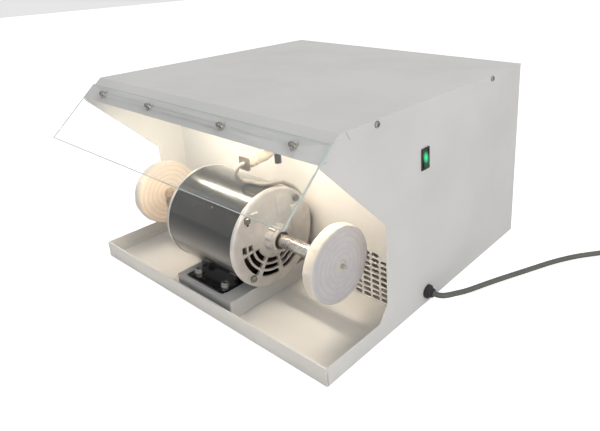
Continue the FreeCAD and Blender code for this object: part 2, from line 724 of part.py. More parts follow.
def inner_back_wall():
    made = body("inner_back_wall")
    face = sketch(made, "inner_wall_outline", "XZ", -(front + bay_depth + gauge))
    half = inner_half
    outline(face, [(-half, floor_top + rim), (-half + gauge, floor_top + rim), (-half + gauge, floor_top),
                   (half - gauge, floor_top), (half - gauge, floor_top + rim), (half, floor_top + rim),
                   (half, under_top), (-half, under_top)])
    pad(made, face, "inner_wall_pad", gauge)
    doc.recompute()
    drawn = sketch(made, "grille_slot", "XZ", -(front + bay_depth))
    slot_outline(drawn, grille_outer - slot_step_across * GRILLE_COLUMNS, grille_foot)
    slotted(made, "grille", drawn, GRILLE_COLUMNS, GRILLE_ROWS, slot_step_across, slot_step_up, True)
    outer = sketch(made, "grille_outer_slot", "XZ", -(front + bay_depth))
    slot_outline(outer, grille_outer, grille_foot)
    slotted(made, "grille_outer", outer, 1, GRILLE_ROWS - 1, slot_step_across, slot_step_up, True)
    keep(made)


duct_top = blower_level + scroll_radius
duct_foot = duct_top - duct_height
EXHAUST_COLUMNS = 4
EXHAUST_ROWS = 6


def rear_panel():
    made = body("rear_panel")
    face = sketch(made, "rear_outline", "XZ", -rear)
    outline(face, [(-inner_half, 0), (inner_half, 0), (inner_half, under_top), (-inner_half, under_top)])
    pad(made, face, "rear_pad", gauge)
    doc.recompute()
    drawn = sketch(made, "exhaust_slot", "XZ", -rear)
    first_across = blower_across - slot_step_across * (EXHAUST_COLUMNS - 1) / 2
    first_up = (duct_top + duct_foot) / 2 - slot_step_up * (EXHAUST_ROWS - 1) / 2
    slot_outline(drawn, first_across, first_up)
    slotted(made, "exhaust", drawn, EXHAUST_COLUMNS, EXHAUST_ROWS, slot_step_across, slot_step_up, False)
    keep(made)


def shield():
    made = body("shield_glass")
    drawn = sketch(made, "shield_outline", "XY")
    half = half_width - shield_inset
    outline(drawn, [(-half, -shield_end), (half, -shield_end), (half, -shield_start), (-half, -shield_start)])
    for across in stud_places:
        circle(drawn, (across, -stud_down), stud_radius)
    pad(made, drawn, "shield_pad", shield_gauge)
    made.Placement = FreeCAD.Placement(V(), FreeCAD.Rotation(V(1, 0, 0), 1))
    bind(made, "Placement.Rotation.Angle", brow_slope)
    place(made, 0, fold_y, cabinet_height)
    keep(made, "glass_shield")
    studs = []
    washers = []
    nuts = []
    nut_low = -gauge * 1.2 - shield_nut_height
    shank_low = nut_low - gauge
    for index, across in enumerate(stud_places):
        shank = slope_rod(f"shield_stud_shank_{index}", across, stud_down, shank_low, stud_radius,
                          shield_gauge + washer_gauge - shank_low)
        head = slope_rod(f"shield_stud_head_{index}", across, stud_down, shield_gauge + washer_gauge,
                         stud_radius * 2, stud_radius * 1.4)
        studs.append(fused(f"shield_stud_{index}", [shank, head]))
        disc = slope_rod(f"shield_washer_disc_{index}", across, stud_down, shield_gauge, stud_radius * 2.8,
                         washer_gauge)
        disc_hole = slope_rod(f"shield_washer_hole_{index}", across, stud_down, shield_gauge, stud_radius,
                              washer_gauge)
        washers.append(cut(f"shield_washer_{index}", disc, [disc_hole]))
        nut = slope_rod(f"shield_nut_body_{index}", across, stud_down, nut_low, stud_radius * 1.8,
                        shield_nut_height)
        nut_hole = slope_rod(f"shield_nut_hole_{index}", across, stud_down, nut_low, stud_radius,
                             shield_nut_height)
        nuts.append(cut(f"shield_nut_{index}", nut, [nut_hole]))
    keep(together("shield_screws", studs))
    keep(together("shield_washers", washers))
    keep(together("shield_nuts", nuts))


# Hood lamp

lamp_y = front + lamp_depth
channel_foot = under_top - lamp_drop
lamp_z = channel_foot - lamp_radius - lamp_space


def lamp():
    reach = lamp_half + lamp_socket
    outer = box("lamp_channel_outer", (-reach, lamp_y - lamp_tray, channel_foot),
                (reach * 2, lamp_tray * 2, lamp_drop))
    hollow = box("lamp_channel_hollow", (-reach + gauge, lamp_y - lamp_tray + gauge, channel_foot + gauge),
                 (reach * 2 - gauge * 2, lamp_tray * 2 - gauge * 2, lamp_drop - gauge))
    keep(cut("lamp_channel", outer, [hollow]))
    keep(rod("lamp_tube", "x", (-lamp_half, lamp_y, lamp_z), lamp_radius, lamp_half * 2))
    sockets = []
    half = lamp_radius + socket_wall
    for side, start in (("left", -reach), ("right", lamp_half)):
        sockets.append(box(f"lamp_socket_{side}", (start, lamp_y - half, lamp_z - half),
                           (lamp_socket, half * 2, channel_foot - lamp_z + half)))
    keep(together("lamp_sockets", sockets))


# Switch and cord gland

switch_y = front + switch_depth
rocker_half_wide = switch_width / 2 - bezel_rim
rocker_half_tall = switch_tall / 2 - bezel_rim


def switch():
    half_wide = switch_width / 2
    half_tall = switch_tall / 2
    frame = box("switch_frame_outer", (panel_face, switch_y - half_wide, switch_level - half_tall),
                (bezel_lip, switch_width, switch_tall))
    case = box("switch_case",
               (panel_face - case_depth, switch_y - half_wide + case_step,
                switch_level - half_tall + case_step),
               (case_depth, switch_width - case_step * 2, switch_tall - case_step * 2))
    well = box("switch_well",
               (panel_face - well_depth, switch_y - rocker_half_wide, switch_level - rocker_half_tall),
               (well_depth + bezel_lip + play, rocker_half_wide * 2, rocker_half_tall * 2))
    keep(cut("switch_bezel", fused("switch_block", [frame, case]), [well]))
    tab_start = panel_face - case_depth - tab_length
    tabs = [box(f"switch_tab_{index}",
                (tab_start, switch_y - tab_width / 2, switch_level + up - tab_gauge / 2),
                (tab_length, tab_width, tab_gauge))
            for index, up in enumerate((-tab_pitch, 0, tab_pitch))]
    keep(together("switch_tabs", tabs))
    rocker = body("rocker")
    drawn = sketch(rocker, "rocker_side", "XZ", -(switch_y + rocker_half_wide - play))
    reach = rocker_half_tall - play * 3
    outline(drawn, [(panel_face - rocker_root, switch_level - reach / 2),
                    (panel_face + rocker_high, switch_level - reach),
                    (panel_face + rocker_middle, switch_level),
                    (panel_face + rocker_low, switch_level + reach),
                    (panel_face - rocker_root, switch_level + reach / 2)])
    pad(rocker, drawn, "rocker_pad", rocker_half_wide * 2 - play * 2)
    keep(rocker)


def gland():
    y = front + gland_depth
    head = cone("gland_head", "x", (panel_face, y, gland_level), gland_radius, cord_radius + 3, gland_length)
    neck = rod("gland_neck_rod", "x", (panel_face - gauge * 4, y, gland_level), gland_neck, gauge * 4)
    bore = rod("gland_bore", "x", (panel_face - gauge * 5, y, gland_level), cord_radius,
               gauge * 5 + gland_length)
    keep(cut("cord_gland", fused("gland_block", [head, neck]), [bore]))


base_pan()
side_panels()
top_cover()
cover_screws()
inner_back_wall()
rear_panel()
shield()
lamp()
switch()
gland()


# Lathe motor

BOLT_ANGLES = (45, 135, 225, 315)
VENT_RINGS = 3
VENT_SECTORS = ((-171, -129), (-121, -87), (-79, -42))
VENT_WINDOWS = (-188, -176)
shell_radius = motor_radius - shell_step
shell_bore = shell_radius - shell_gauge
shell_half = motor_half - bell_rim
bearing_end = motor_half - bell_plate
bearing_start = bearing_end - bearing_width
foot_top = riser_top - foot_drop
foot_bottom = foot_top - foot_gauge


def mirrored(points, side):
    return [(x * side, r) for x, r in points]


def round_the_shaft(radius, angle):
    """The place in Y and Z at a radius and an angle from the back, seen along the shaft."""
    turn = Dim(f"({angle})", float(angle))
    return shaft_y + radius * cosine(turn), shaft_level + radius * sine(turn)


def sector(name, start, length, inner, outer, first, last):
    """A curved block between two radii and two angles round the shaft."""
    discs = []
    for label, radius in (("outer", outer), ("inner", inner)):
        disc = doc.addObject("Part::Cylinder", f"{name}_{label}")
        bind(disc, "Radius", radius)
        bind(disc, "Height", length)
        disc.Angle = last - first
        turn = FreeCAD.Rotation(V(0, 1, 0), 90) * FreeCAD.Rotation(V(0, 0, 1), first + 90)
        disc.Placement = FreeCAD.Placement(V(), turn)
        discs.append(place(disc, start, shaft_y, shaft_level))
    return cut(name, discs[0], [discs[1]])


def end_bell(name, side):
    spigot_end = shell_half - bell_spigot
    spigot_bore = shell_bore - spigot_wall
    profile = [(motor_half, ring_bore), (motor_half, motor_radius - cap_edge),
               (motor_half - cap_round * 0.4, motor_radius - cap_edge * 0.3),
               (motor_half - cap_round, motor_radius), (shell_half, motor_radius), (shell_half, shell_bore),
               (spigot_end, shell_bore), (spigot_end, spigot_bore), (bearing_end, spigot_bore),
               (bearing_end, housing_radius), (bearing_start, housing_radius),
               (bearing_start, bearing_radius), (bearing_end, bearing_radius), (bearing_end, ring_bore)]
    plate = turned(name + "_casting", mirrored(profile, side))
    start = bearing_end - play if side > 0 else -(motor_half + play)
    length = bell_plate + play * 2
    holes = []
    for ring_index in range(VENT_RINGS):
        inner = vent_inner + vent_step * ring_index
        spans = list(VENT_SECTORS)
        if ring_index:
            spans.append(VENT_WINDOWS)
        for index, (first, last) in enumerate(spans):
            holes.append(sector(f"{name}_vent_{ring_index}_{index}", start, length, inner, inner + vent_open,
                                first, last))
    for angle in BOLT_ANGLES:
        y, z = round_the_shaft(bolt_circle, angle)
        holes.append(rod(f"{name}_bolt_hole_{angle}", "x", (start, y, z), bolt_radius, length))
    keep(cut(name + "_cut", plate, holes), name)


HUB_TEETH = 10


def hub_ring(name, side):
    """The castellated ring round the shaft on the face of an end bell."""
    made = body(name)
    low = motor_half if side > 0 else -(motor_half + ring_length)
    sleeve_radius = ring_radius - ring_wall
    sleeve = sketch(made, name + "_sleeve", "YZ", low)
    circle(sleeve, (0, 0), sleeve_radius)
    circle(sleeve, (0, 0), ring_bore)
    pad(made, sleeve, name + "_sleeve_pad", ring_length)
    tooth_low = low if side > 0 else low + ring_step
    tooth = sketch(made, name + "_tooth", "YZ", tooth_low)
    half_tooth = ring_radius / 6
    tooth_root = ring_bore + ring_wall / 2
    outline(tooth, [(tooth_root, -half_tooth), (ring_radius, -half_tooth), (ring_radius, half_tooth),
                    (tooth_root, half_tooth)])
    block = pad(made, tooth, name + "_tooth_pad", ring_length - ring_step)
    polar(made, name + "_teeth", tooth, block, HUB_TEETH)
    return place(made, 0, shaft_y, shaft_level)


def polar(made, name, drawn, feature, count):
    pattern = made.newObject("PartDesign::PolarPattern", name)
    pattern.Originals = [feature]
    pattern.Axis = (drawn, ["N_Axis"])
    pattern.Angle = 360
    pattern.Occurrences = count
    made.Tip = pattern
    return pattern


FAN_VANES = 9
LEAD_ANGLE = -45
lead_across = plug_across + lead_offset


def motor():
    keep(ring("motor_shell", -shell_half, shell_half, shell_bore, shell_radius))
    for name, side in (("left_end_bell", -1), ("right_end_bell", 1)):
        end_bell(name, side)
    keep(together("hub_rings", [hub_ring("left_hub_ring", -1), hub_ring("right_hub_ring", 1)]))
    core = ring("core_blank", -core_half, core_half, core_bore, shell_bore)
    bolts = []
    tunnels = []
    head = bolt_radius * 1.8
    for angle in BOLT_ANGLES:
        y, z = round_the_shaft(bolt_circle, angle)
        tunnels.append(rod(f"core_tunnel_{angle}", "x", (-core_half, y, z), bolt_radius, core_half * 2))
        shank = rod(f"through_bolt_shank_{angle}", "x", (-motor_half, y, z), bolt_radius, motor_half * 2)
        ends = [rod(f"through_bolt_end_{angle}_{side}", "x", (start, y, z), head, head)
                for side, start in (("right", motor_half), ("left", -motor_half - head))]
        bolts.append(fused(f"through_bolt_{angle}", [shank] + ends))
    keep(cut("stator_core", core, tunnels))
    keep(together("through_bolts", bolts))
    coil_inner = core_bore + winding_gap
    coil_outer = bolt_circle - bolt_radius - play * 3
    keep(together("stator_windings", [
        ring("left_winding", -(core_half + winding_length), -core_half, coil_inner, coil_outer),
        ring("right_winding", core_half, core_half + winding_length, coil_inner, coil_outer)]))
    keep(ring("rotor_core", -core_half, core_half, shaft_seat, core_bore - air_gap))
    shoulder = bearing_start - shaft_float
    journal_end = bearing_end + shaft_float * 2
    half_shaft = [(shoulder, shaft_seat), (shoulder, journal_radius), (journal_end, journal_radius),
                  (journal_end, shaft_radius), (shaft_reach, shaft_radius), (shaft_reach, 0)]
    keep(turned("motor_shaft", half_shaft + mirrored(half_shaft, -1)[::-1]))
    keep(together("shaft_bearings", [
        ring("left_bearing", -bearing_end, -bearing_start, journal_radius + running, bearing_radius),
        ring("right_bearing", bearing_start, bearing_end, journal_radius + running, bearing_radius)]))
    cooling_fan()
    y, z = round_the_shaft(shell_radius, LEAD_ANGLE)
    grommet = rod("lead_grommet", "y", (lead_across, y, z), lead_radius * 1.8, grommet_length)
    grommet.Placement = FreeCAD.Placement(V(), FreeCAD.Rotation(V(1, 0, 0), LEAD_ANGLE - 90))
    keep(place(grommet, lead_across, y, z))


def cooling_fan():
    fan = body("cooling_fan")
    low = -(bearing_start - fan_gap)
    disc = sketch(fan, "fan_disc", "YZ", low)
    circle(disc, (0, 0), fan_radius)
    circle(disc, (0, 0), shaft_seat)
    pad(fan, disc, "fan_disc_pad", vane_gauge)
    vane = sketch(fan, "fan_vane", "YZ", low)
    half = vane_gauge / 2
    outline(vane, [(housing_radius, -half), (fan_radius, -half), (fan_radius, half), (housing_radius, half)])
    polar(fan, "fan_vanes", vane, pad(fan, vane, "fan_vane_pad", vane_length), FAN_VANES)
    place(fan, 0, shaft_y, shaft_level)
    keep(fan)


# Riser and foot

def rounded_block(name, low, lengths, corner):
    """A block whose upright edges are rounded."""
    x, y, z = low
    wide, deep, tall = lengths
    pieces = [box(name + "_long", (x, y + corner, z), (wide, deep - corner * 2, tall)),
              box(name + "_wide", (x + corner, y, z), (wide - corner * 2, deep, tall))]
    corners = [(across, along) for across in (corner, wide - corner) for along in (corner, deep - corner)]
    for index, (across, along) in enumerate(corners):
        pieces.append(rod(f"{name}_corner_{index}", "z", (x + across, y + along, z), corner, tall))
    return fused(name, pieces)


def riser():
    deep = riser_back - riser_front
    low_y = front + riser_front
    wall = riser_gauge
    block = rounded_block("riser_block", (-riser_half, low_y, floor_top),
                          (riser_half * 2, deep, riser_top - floor_top), riser_bend)
    hollow = box("riser_hollow", (-riser_half + wall, low_y + wall, floor_top),
                 (riser_half * 2 - wall * 2, deep - wall * 2, riser_top - floor_top - wall))
    opening = rounded_block("riser_opening", (-opening_left, low_y + opening_rim, riser_top - wall * 2),
                            (opening_left + opening_right, deep - opening_rim * 2, wall * 3), opening_corner)
    keep(cut("riser", block, [hollow, opening]))


foot_places = [(x, y) for x in (-foot_middle - foot_hole_across, -foot_middle + foot_hole_across)
               for y in (shaft_y - foot_hole_deep, shaft_y + foot_hole_deep)]


def foot():
    low_x = -foot_middle - foot_half
    plate = rounded_block("foot_plate_block", (low_x, shaft_y - foot_deep, foot_bottom),
                          (foot_half * 2, foot_deep * 2, foot_gauge), opening_corner)
    legs = [box(f"foot_leg_{index}", (low_x, y, foot_top), (foot_half * 2, leg_gauge, leg_height))
            for index, y in enumerate((shaft_y - leg_deep, shaft_y + leg_deep - leg_gauge))]
    barrel = rod("foot_saddle", "x", (-motor_half, shaft_y, shaft_level), shell_radius, motor_half * 2)
    holes = [rod(f"foot_hole_{index}", "z", (x, y, foot_bottom), foot_bolt, foot_gauge)
             for index, (x, y) in enumerate(foot_places)]
    keep(cut("foot_plate", fused("foot_pressing", [plate] + legs), [barrel] + holes))
    rails = []
    rail_tall = foot_bottom - floor_top
    nut_top = foot_bottom - riser_gauge
    for index, y in enumerate((shaft_y - foot_hole_deep, shaft_y + foot_hole_deep)):
        low_y = y - rail_width / 2
        block = box(f"rail_block_{index}", (low_x, low_y, floor_top), (foot_half * 2, rail_width, rail_tall))
        hollow = box(f"rail_hollow_{index}", (low_x, low_y + riser_gauge, floor_top),
                     (foot_half * 2, rail_width - riser_gauge * 2, rail_tall - riser_gauge))
        drills = [rod(f"rail_hole_{index}_{side}", "z", (x, y, nut_top), foot_bolt, riser_gauge)
                  for side, x in (("left", -foot_middle - foot_hole_across),
                                  ("right", -foot_middle + foot_hole_across))]
        rails.append(cut(f"foot_rail_{index}", block, [hollow] + drills))
    keep(together("foot_rails", rails))
    foot_fasteners(nut_top)


def washer(name, x, y, z, outer, inner, height):
    """A flat ring that stands up on a height."""
    return cut(name, rod(name + "_disc", "z", (x, y, z), outer, height),
               [rod(name + "_hole", "z", (x, y, z), inner, height)])


def foot_fasteners(nut_top):
    bolts = []
    washers = []
    nuts = []
    bolt_end = nut_top - foot_nut_height - foot_bolt_end
    for index, (x, y) in enumerate(foot_places):
        head_foot = foot_top + foot_washer
        shank = rod(f"foot_shank_{index}", "z", (x, y, bolt_end), foot_bolt, head_foot - bolt_end)
        head = rod(f"foot_head_{index}", "z", (x, y, head_foot), foot_head_radius, foot_head_height)
        bolts.append(fused(f"foot_bolt_{index}", [shank, head]))
        washers.append(washer(f"foot_washer_{index}", x, y, foot_top, foot_washer_radius, foot_bolt,
                              foot_washer))
        nuts.append(washer(f"foot_nut_{index}", x, y, nut_top - foot_nut_height, foot_head_radius, foot_bolt,
                           foot_nut_height))
    keep(together("foot_bolts", bolts))
    keep(together("foot_washers", washers))
    keep(together("foot_nuts", nuts))


# Spindles and buffs

buff_inside = buff_middle - buff_width / 2
buff_outside = buff_middle + buff_width / 2
screw_root = spindle_radius / 2
screw_end = spindle_tip_radius * 1.5


def spindle(name, side):
    """A sleeve on the shaft's end with a tapered screw for the buff."""
    set_place = spindle_start + set_screw_inset
    profile = [(spindle_start, shaft_radius), (shaft_reach, shaft_radius), (shaft_reach, 0), (spindle_tip, 0),
               (spindle_tip, tip_flat), (spindle_tip - tip_length, spindle_tip_radius),
               (buff_outside, screw_end), (buff_inside, screw_root), (buff_inside, spindle_radius),
               (spindle_start + spindle_edge, spindle_radius), (spindle_start, spindle_radius - spindle_edge)]
    sleeve = turned(name + "_sleeve", mirrored(profile, side))
    start = (set_place * side, shaft_y, shaft_level + shaft_radius)
    hole = rod(name + "_set_hole", "z", start, set_screw_radius, spindle_radius)
    keep(cut(name + "_cut", sleeve, [hole]), name)
    return rod(name + "_set_screw", "z", start, set_screw_radius,
               spindle_radius - shaft_radius + set_screw_proud)


def buff(name, side):
    """A cloth wheel: two flat faces a step below its hub, and a crowned rim."""
    edge = buff_radius - buff_crown
    shoulder = buff_radius - buff_shoulder
    inner_face = buff_inside + buff_step
    outer_face = buff_outside - buff_step
    profile = [(buff_inside, screw_root), (buff_outside, screw_end), (buff_outside, buff_hub),
               (outer_face, buff_hub + buff_bevel), (outer_face, shoulder - buff_bevel),
               (outer_face - buff_step, shoulder), (buff_middle + buff_width / 4, edge),
               (buff_middle, buff_radius), (buff_middle - buff_width / 4, edge),
               (inner_face + buff_step, shoulder), (inner_face, shoulder - buff_bevel),
               (inner_face, spindle_radius + buff_bevel), (buff_inside, spindle_radius)]
    keep(turned(name, mirrored(profile, side)))


def spindles_and_buffs():
    screws = []
    for name, side in (("left", -1), ("right", 1)):
        screws.append(spindle(name + "_spindle", side))
        buff(name + "_buff", side)
    keep(together("set_screws", screws))


# Lead of the lathe and its connector

ceiling_y = front + ceiling_depth


def hanging_connector():
    x, y, z = plug_across, front + plug_depth, plug_level
    plate = rounded_block("plug_plate", (-plate_half, -plate_half, 0),
                          (plate_half * 2, plate_half * 2, plate_gauge), plate_gauge)
    plate.Placement = FreeCAD.Placement(V(), FreeCAD.Rotation(V(1, 0, 0), -90))
    place(plate, x, y, z)
    keep(plate, "lathe_plug")
    drum_start = y + plate_gauge
    drum_end = drum_start + socket_length
    taper_end = drum_end + socket_taper
    drum = rod("socket_drum", "y", (x, drum_start, z), socket_radius, socket_length)
    ribs = [rod(f"socket_rib_{index}", "y", (x, drum_start + rib_pitch * (index + 1), z),
                socket_radius + rib_height, rib_width)
            for index in range(2)]
    taper = cone("socket_taper_cone", "y", (x, drum_end, z), socket_radius, socket_end, socket_taper)
    tail = rod("socket_tail", "y", (x, taper_end, z), tail_radius, ceiling_y - taper_end)
    keep(fused("socket_block", [drum, taper, tail] + ribs), "hood_socket")
    boot = rod("boot_drum", "z", (x, ceiling_y, z - boot_below), boot_radius, boot_below + boot_above)
    neck = cone("boot_neck_cone", "z", (x, ceiling_y, z + boot_above), boot_radius, lead_radius + boot_wall,
                boot_neck)
    entry = rod("boot_entry", "y", (x, ceiling_y - boot_radius * 1.5, z), tail_radius, boot_radius * 1.5)
    keep(cut("socket_boot", fused("boot_block", [boot, neck]), [entry]))
    keep(washer("ceiling_grommet", x, ceiling_y, under_top - grommet_length, grommet_radius, lead_radius,
                grommet_length))


LARGEST_BEND = 200


def leads():
    x, y, z = (number(value) for value in (plug_across, front, plug_level))
    radius = number(lead_radius)
    back = number(ceiling_y)
    low = number(plug_level + boot_above + boot_neck)
    rise = number(under_top) - low
    hood = [(x, back, low), (x, back, low + rise / 4), (x + 1.5, back + 1.5, low + rise / 2),
            (x, back, low + rise * 3 / 4), (x, back, low + rise)]
    keep(tube("hood_lead", hood, arc_radii(hood, LARGEST_BEND), radius))
    start = y + number(plug_depth)
    over = [(x, start, z), (x, start - 10, z), (x, start - 16.5, z - 8), (x - 3, start - 15, z - 18.5),
            (x - 6, start - 7, z - 28.5), (x - 3, start + 1, z - 32.6), (x + 8, start + 6, z - 32.8),
            (x + 22, start + 7, z - 32.8), (x + 33, start + 13, z - 32.9), (x + 36, start + 26, z - 34.9)]
    across, axis_y, axis_z = (number(value) for value in (lead_across, shaft_y, shaft_level))
    behind = [(across, axis_y + 43, axis_z + 82.7), (across, axis_y + 73.9, axis_z + 56.7),
              (across, axis_y + 91, axis_z + 20.2), (across, axis_y + 91, axis_z - 20.2),
              (across, axis_y + 90.5, axis_z - 47.6), (across, axis_y + 85, axis_z - 70.6)]
    seat = number(shell_radius + grommet_length)
    turn = math.radians(LEAD_ANGLE)
    ends = [(across, axis_y + reach * math.cos(turn), axis_z + reach * math.sin(turn))
            for reach in (seat + radius * 3.5, seat)]
    lathe = over + behind + ends
    keep(tube("lathe_lead", lathe, arc_radii(lathe, LARGEST_BEND), radius))


motor()
riser()
foot()
spindles_and_buffs()
hanging_connector()
leads()


# Suction behind the inner wall

wall_y = front + bay_depth + gauge
filter_y = wall_y + filter_gap
blower_y = front + blower_depth
scroll_low = blower_across - scroll_width / 2
scroll_high = blower_across + scroll_width / 2
fan_x = blower_across - impeller_width / 2
IMPELLER_BLADES = 32


def filter_cassette():
    half = inner_half - filter_side
    inside = half - filter_wall
    opening = half - filter_border
    frame = box("filter_frame_block", (-half, filter_y, floor_top), (half * 2, filter_depth, filter_height))
    window = box("filter_window", (-opening, filter_y, floor_top + filter_border),
                 (opening * 2, filter_depth, filter_height - filter_border * 2))
    low = (-inside, filter_y + filter_wall, floor_top + filter_wall)
    lengths = (inside * 2, filter_depth - filter_wall * 2, filter_height - filter_wall * 2)
    keep(cut("filter_frame", frame, [window, box("filter_room", low, lengths)]))
    keep(box("filter_media", low, lengths))
    guides = [box(f"filter_guide_{side}", (x, filter_y, floor_top),
                  (guide_width, filter_depth, filter_height))
              for side, x in (("left", -half - guide_width), ("right", half))]
    keep(together("filter_guides", guides))


def scroll():
    inset = scroll_gauge
    inner_width = scroll_width - inset * 2
    shell = rod("scroll_drum", "x", (scroll_low, blower_y, blower_level), scroll_radius, scroll_width)
    duct = box("scroll_duct", (scroll_low, blower_y, duct_foot),
               (scroll_width, rear - gauge - blower_y, duct_height))
    room = rod("scroll_room", "x", (scroll_low + inset, blower_y, blower_level), scroll_radius - inset,
               inner_width)
    duct_room = box("duct_room", (scroll_low + inset, blower_y, duct_foot + inset),
                    (inner_width, rear - blower_y, duct_height - inset * 2))
    inlet = rod("scroll_inlet", "x", (scroll_low, blower_y, blower_level), inlet_radius, inset)
    eye = rod("scroll_eye", "x", (scroll_high - inset, blower_y, blower_level), fan_boss, inset)
    keep(cut("blower_scroll", fused("scroll_block", [shell, duct]),
             [fused("scroll_inside", [room, duct_room]), inlet, eye]))


def stands():
    made = []
    for index, x in enumerate((blower_across - stand_offset, blower_across + stand_offset)):
        low = (x - stand_gauge / 2, blower_y - stand_half, floor_top)
        plate = box(f"stand_plate_{index}", low, (stand_gauge, stand_half * 2, stand_height))
        shoe = box(f"stand_shoe_{index}", low, (stand_shoe, stand_half * 2, stand_gauge / 2))
        saddle = rod(f"stand_saddle_{index}", "x", (x - stand_gauge, blower_y, blower_level), scroll_radius,
                     stand_gauge * 2)
        made.append(cut(f"stand_{index}", fused(f"stand_block_{index}", [plate, shoe]), [saddle]))
    keep(together("blower_stands", made))


def impeller():
    wheel = body("impeller")
    disc = sketch(wheel, "impeller_disc", "YZ", fan_x + impeller_width - impeller_sheet)
    circle(disc, (0, 0), impeller_radius)
    circle(disc, (0, 0), fan_shaft)
    pad(wheel, disc, "impeller_disc_pad", impeller_sheet)
    hub = sketch(wheel, "impeller_hub", "YZ", boss_start)
    circle(hub, (0, 0), fan_boss)
    circle(hub, (0, 0), fan_shaft)
    pad(wheel, hub, "impeller_hub_pad", boss_length + impeller_sheet / 2)
    blade = sketch(wheel, "impeller_blade", "YZ", fan_x)
    root = impeller_radius - blade_deep
    tip = impeller_radius - impeller_sheet / 2
    outline(blade, [(root, -impeller_sheet / 2), (tip, -impeller_sheet * 2), (tip, -impeller_sheet * 1.25),
                    (root, impeller_sheet * 0.4)])
    blade_pad = pad(wheel, blade, "impeller_blade_pad", impeller_width - impeller_sheet / 2)
    polar(wheel, "impeller_blades", blade, blade_pad, IMPELLER_BLADES)
    lip = sketch(wheel, "impeller_lip", "YZ", fan_x)
    circle(lip, (0, 0), impeller_radius)
    circle(lip, (0, 0), impeller_radius - lip_width)
    wheel.Tip = pad(wheel, lip, "impeller_lip_pad", impeller_sheet)
    place(wheel, 0, blower_y, blower_level)
    keep(wheel)


boss_start = fan_x + impeller_width - impeller_sheet - boss_length


def blower():
    scroll()
    stands()
    impeller()
    keep(rod("blower_shaft", "x", (boss_start, blower_y, blower_level), fan_shaft,
             scroll_high - boss_start + fan_motor_length * 0.8))
    can = rod("fan_motor_can", "x", (scroll_high, blower_y, blower_level), fan_motor_radius, fan_motor_length)
    bore = rod("fan_motor_bore", "x", (scroll_high, blower_y, blower_level), fan_shaft + running,
               fan_motor_length * 0.85)
    keep(cut("blower_motor", can, [bore]))
    keep(rod("run_capacitor", "z", (inner_half - capacitor_side, blower_y, floor_top), capacitor_radius,
             capacitor_height))


filter_cassette()
blower()


# Mains cord: it leaves the gland to the right, drops to the table and runs back past the cabinet

COIL_X = 555
COIL_Y = 356
COIL_TURN = 54.7
COIL_INNER = 40.6
COIL_STUB = 34
PLUG_RISE = 14.1
cord_width = number(cord_radius)
cord_start = number(panel_face + gland_length)
cord_y = number(front + gland_depth)
cord_z = number(gland_level)
CORD_POINTS = [
    (cord_start, cord_y, cord_z), (cord_start + 8, cord_y, cord_z - 0.2),
    (cord_start + 16.2, cord_y + 4.8, cord_z - 0.8), (cord_start + 20.9, cord_y + 13.6, cord_z - 2.6),
    (cord_start + 24.5, cord_y + 30, 14.5), (cord_start + 31, cord_y + 58, 7),
    (360, 57, cord_width), (379, 99, cord_width), (403, 148, cord_width), (430, 205, cord_width),
    (458, 250, cord_width), (486, 283, cord_width), (COIL_X - COIL_TURN, COIL_Y - COIL_STUB - 22, cord_width),
    (COIL_X - COIL_TURN, COIL_Y - COIL_STUB, cord_width)]


def mains_cord():
    keep(tube("mains_cord", CORD_POINTS, arc_radii(CORD_POINTS, 140), cord_width))
    outer = rod("coil_outer", "z", (COIL_X, COIL_Y, 0), COIL_TURN + cord_radius, cord_radius * 4)
    inner = rod("coil_inner", "z", (COIL_X, COIL_Y, 0), COIL_INNER, cord_radius * 4)
    entry = rod("coil_entry", "y", (COIL_X - COIL_TURN, COIL_Y - COIL_STUB, cord_radius), cord_radius,
                COIL_STUB)
    leave = rod("coil_leave", "x", (COIL_X, COIL_Y + COIL_TURN, PLUG_RISE), cord_radius, COIL_STUB)
    keep(fused("cord_coil_block", [cut("coil_ring", outer, [inner]), entry, leave]), "mains_cord_coil")


def plug():
    start = COIL_X + COIL_STUB
    y = COIL_Y + COIL_TURN
    sleeve = cone("plug_sleeve", "x", (start, y, PLUG_RISE), sleeve_start, sleeve_end, sleeve_length)
    grip = rounded_block("plug_grip", (-grip_half_tall, -grip_half_wide, 0),
                         (grip_half_tall * 2, grip_half_wide * 2, grip_length), grip_corner)
    grip.Placement = FreeCAD.Placement(V(), FreeCAD.Rotation(V(0, 1, 0), 90))
    place(grip, start + sleeve_length, y, PLUG_RISE)
    keep(fused("plug_block", [sleeve, grip]), "plug_body")
    face = start + sleeve_length + grip_length
    blades = [box(f"plug_blade_{index}", (face, y + offset - blade_gauge / 2, PLUG_RISE - blade_drop),
                  (blade_long, blade_gauge, blade_tall))
              for index, offset in enumerate((-blade_offset, blade_offset))]
    blades.append(rod("plug_earth", "x", (face, y, PLUG_RISE - earth_drop), earth_radius, earth_long))
    keep(together("plug_blades", blades))


mains_cord()
plug()


# Checks and files

doc.recompute()
for made in doc.Objects:
    if "Invalid" in made.State or "Error" in made.State:
        raise RuntimeError(f"{made.Name} failed: {made.State}")
for made in nodes:
    if made.Shape.isNull() or not made.Shape.isValid() or made.Shape.Volume <= 0:
        raise RuntimeError(f"{made.Label} has no sound shape")
os.makedirs("parts", exist_ok=True)
for made in nodes:
    made.Shape.exportStep(f"parts/{made.Label}.step")
    low = made.Shape.BoundBox
    print(made.Label, len(made.Shape.Solids), "solids",
          [round(v, 1) for v in (low.XMin, low.XMax, low.YMin, low.YMax, low.ZMin, low.ZMax)])
print(len(nodes), "nodes")
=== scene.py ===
import json
import math
import random

import bmesh
import bpy
from mathutils import Euler, Matrix, Vector


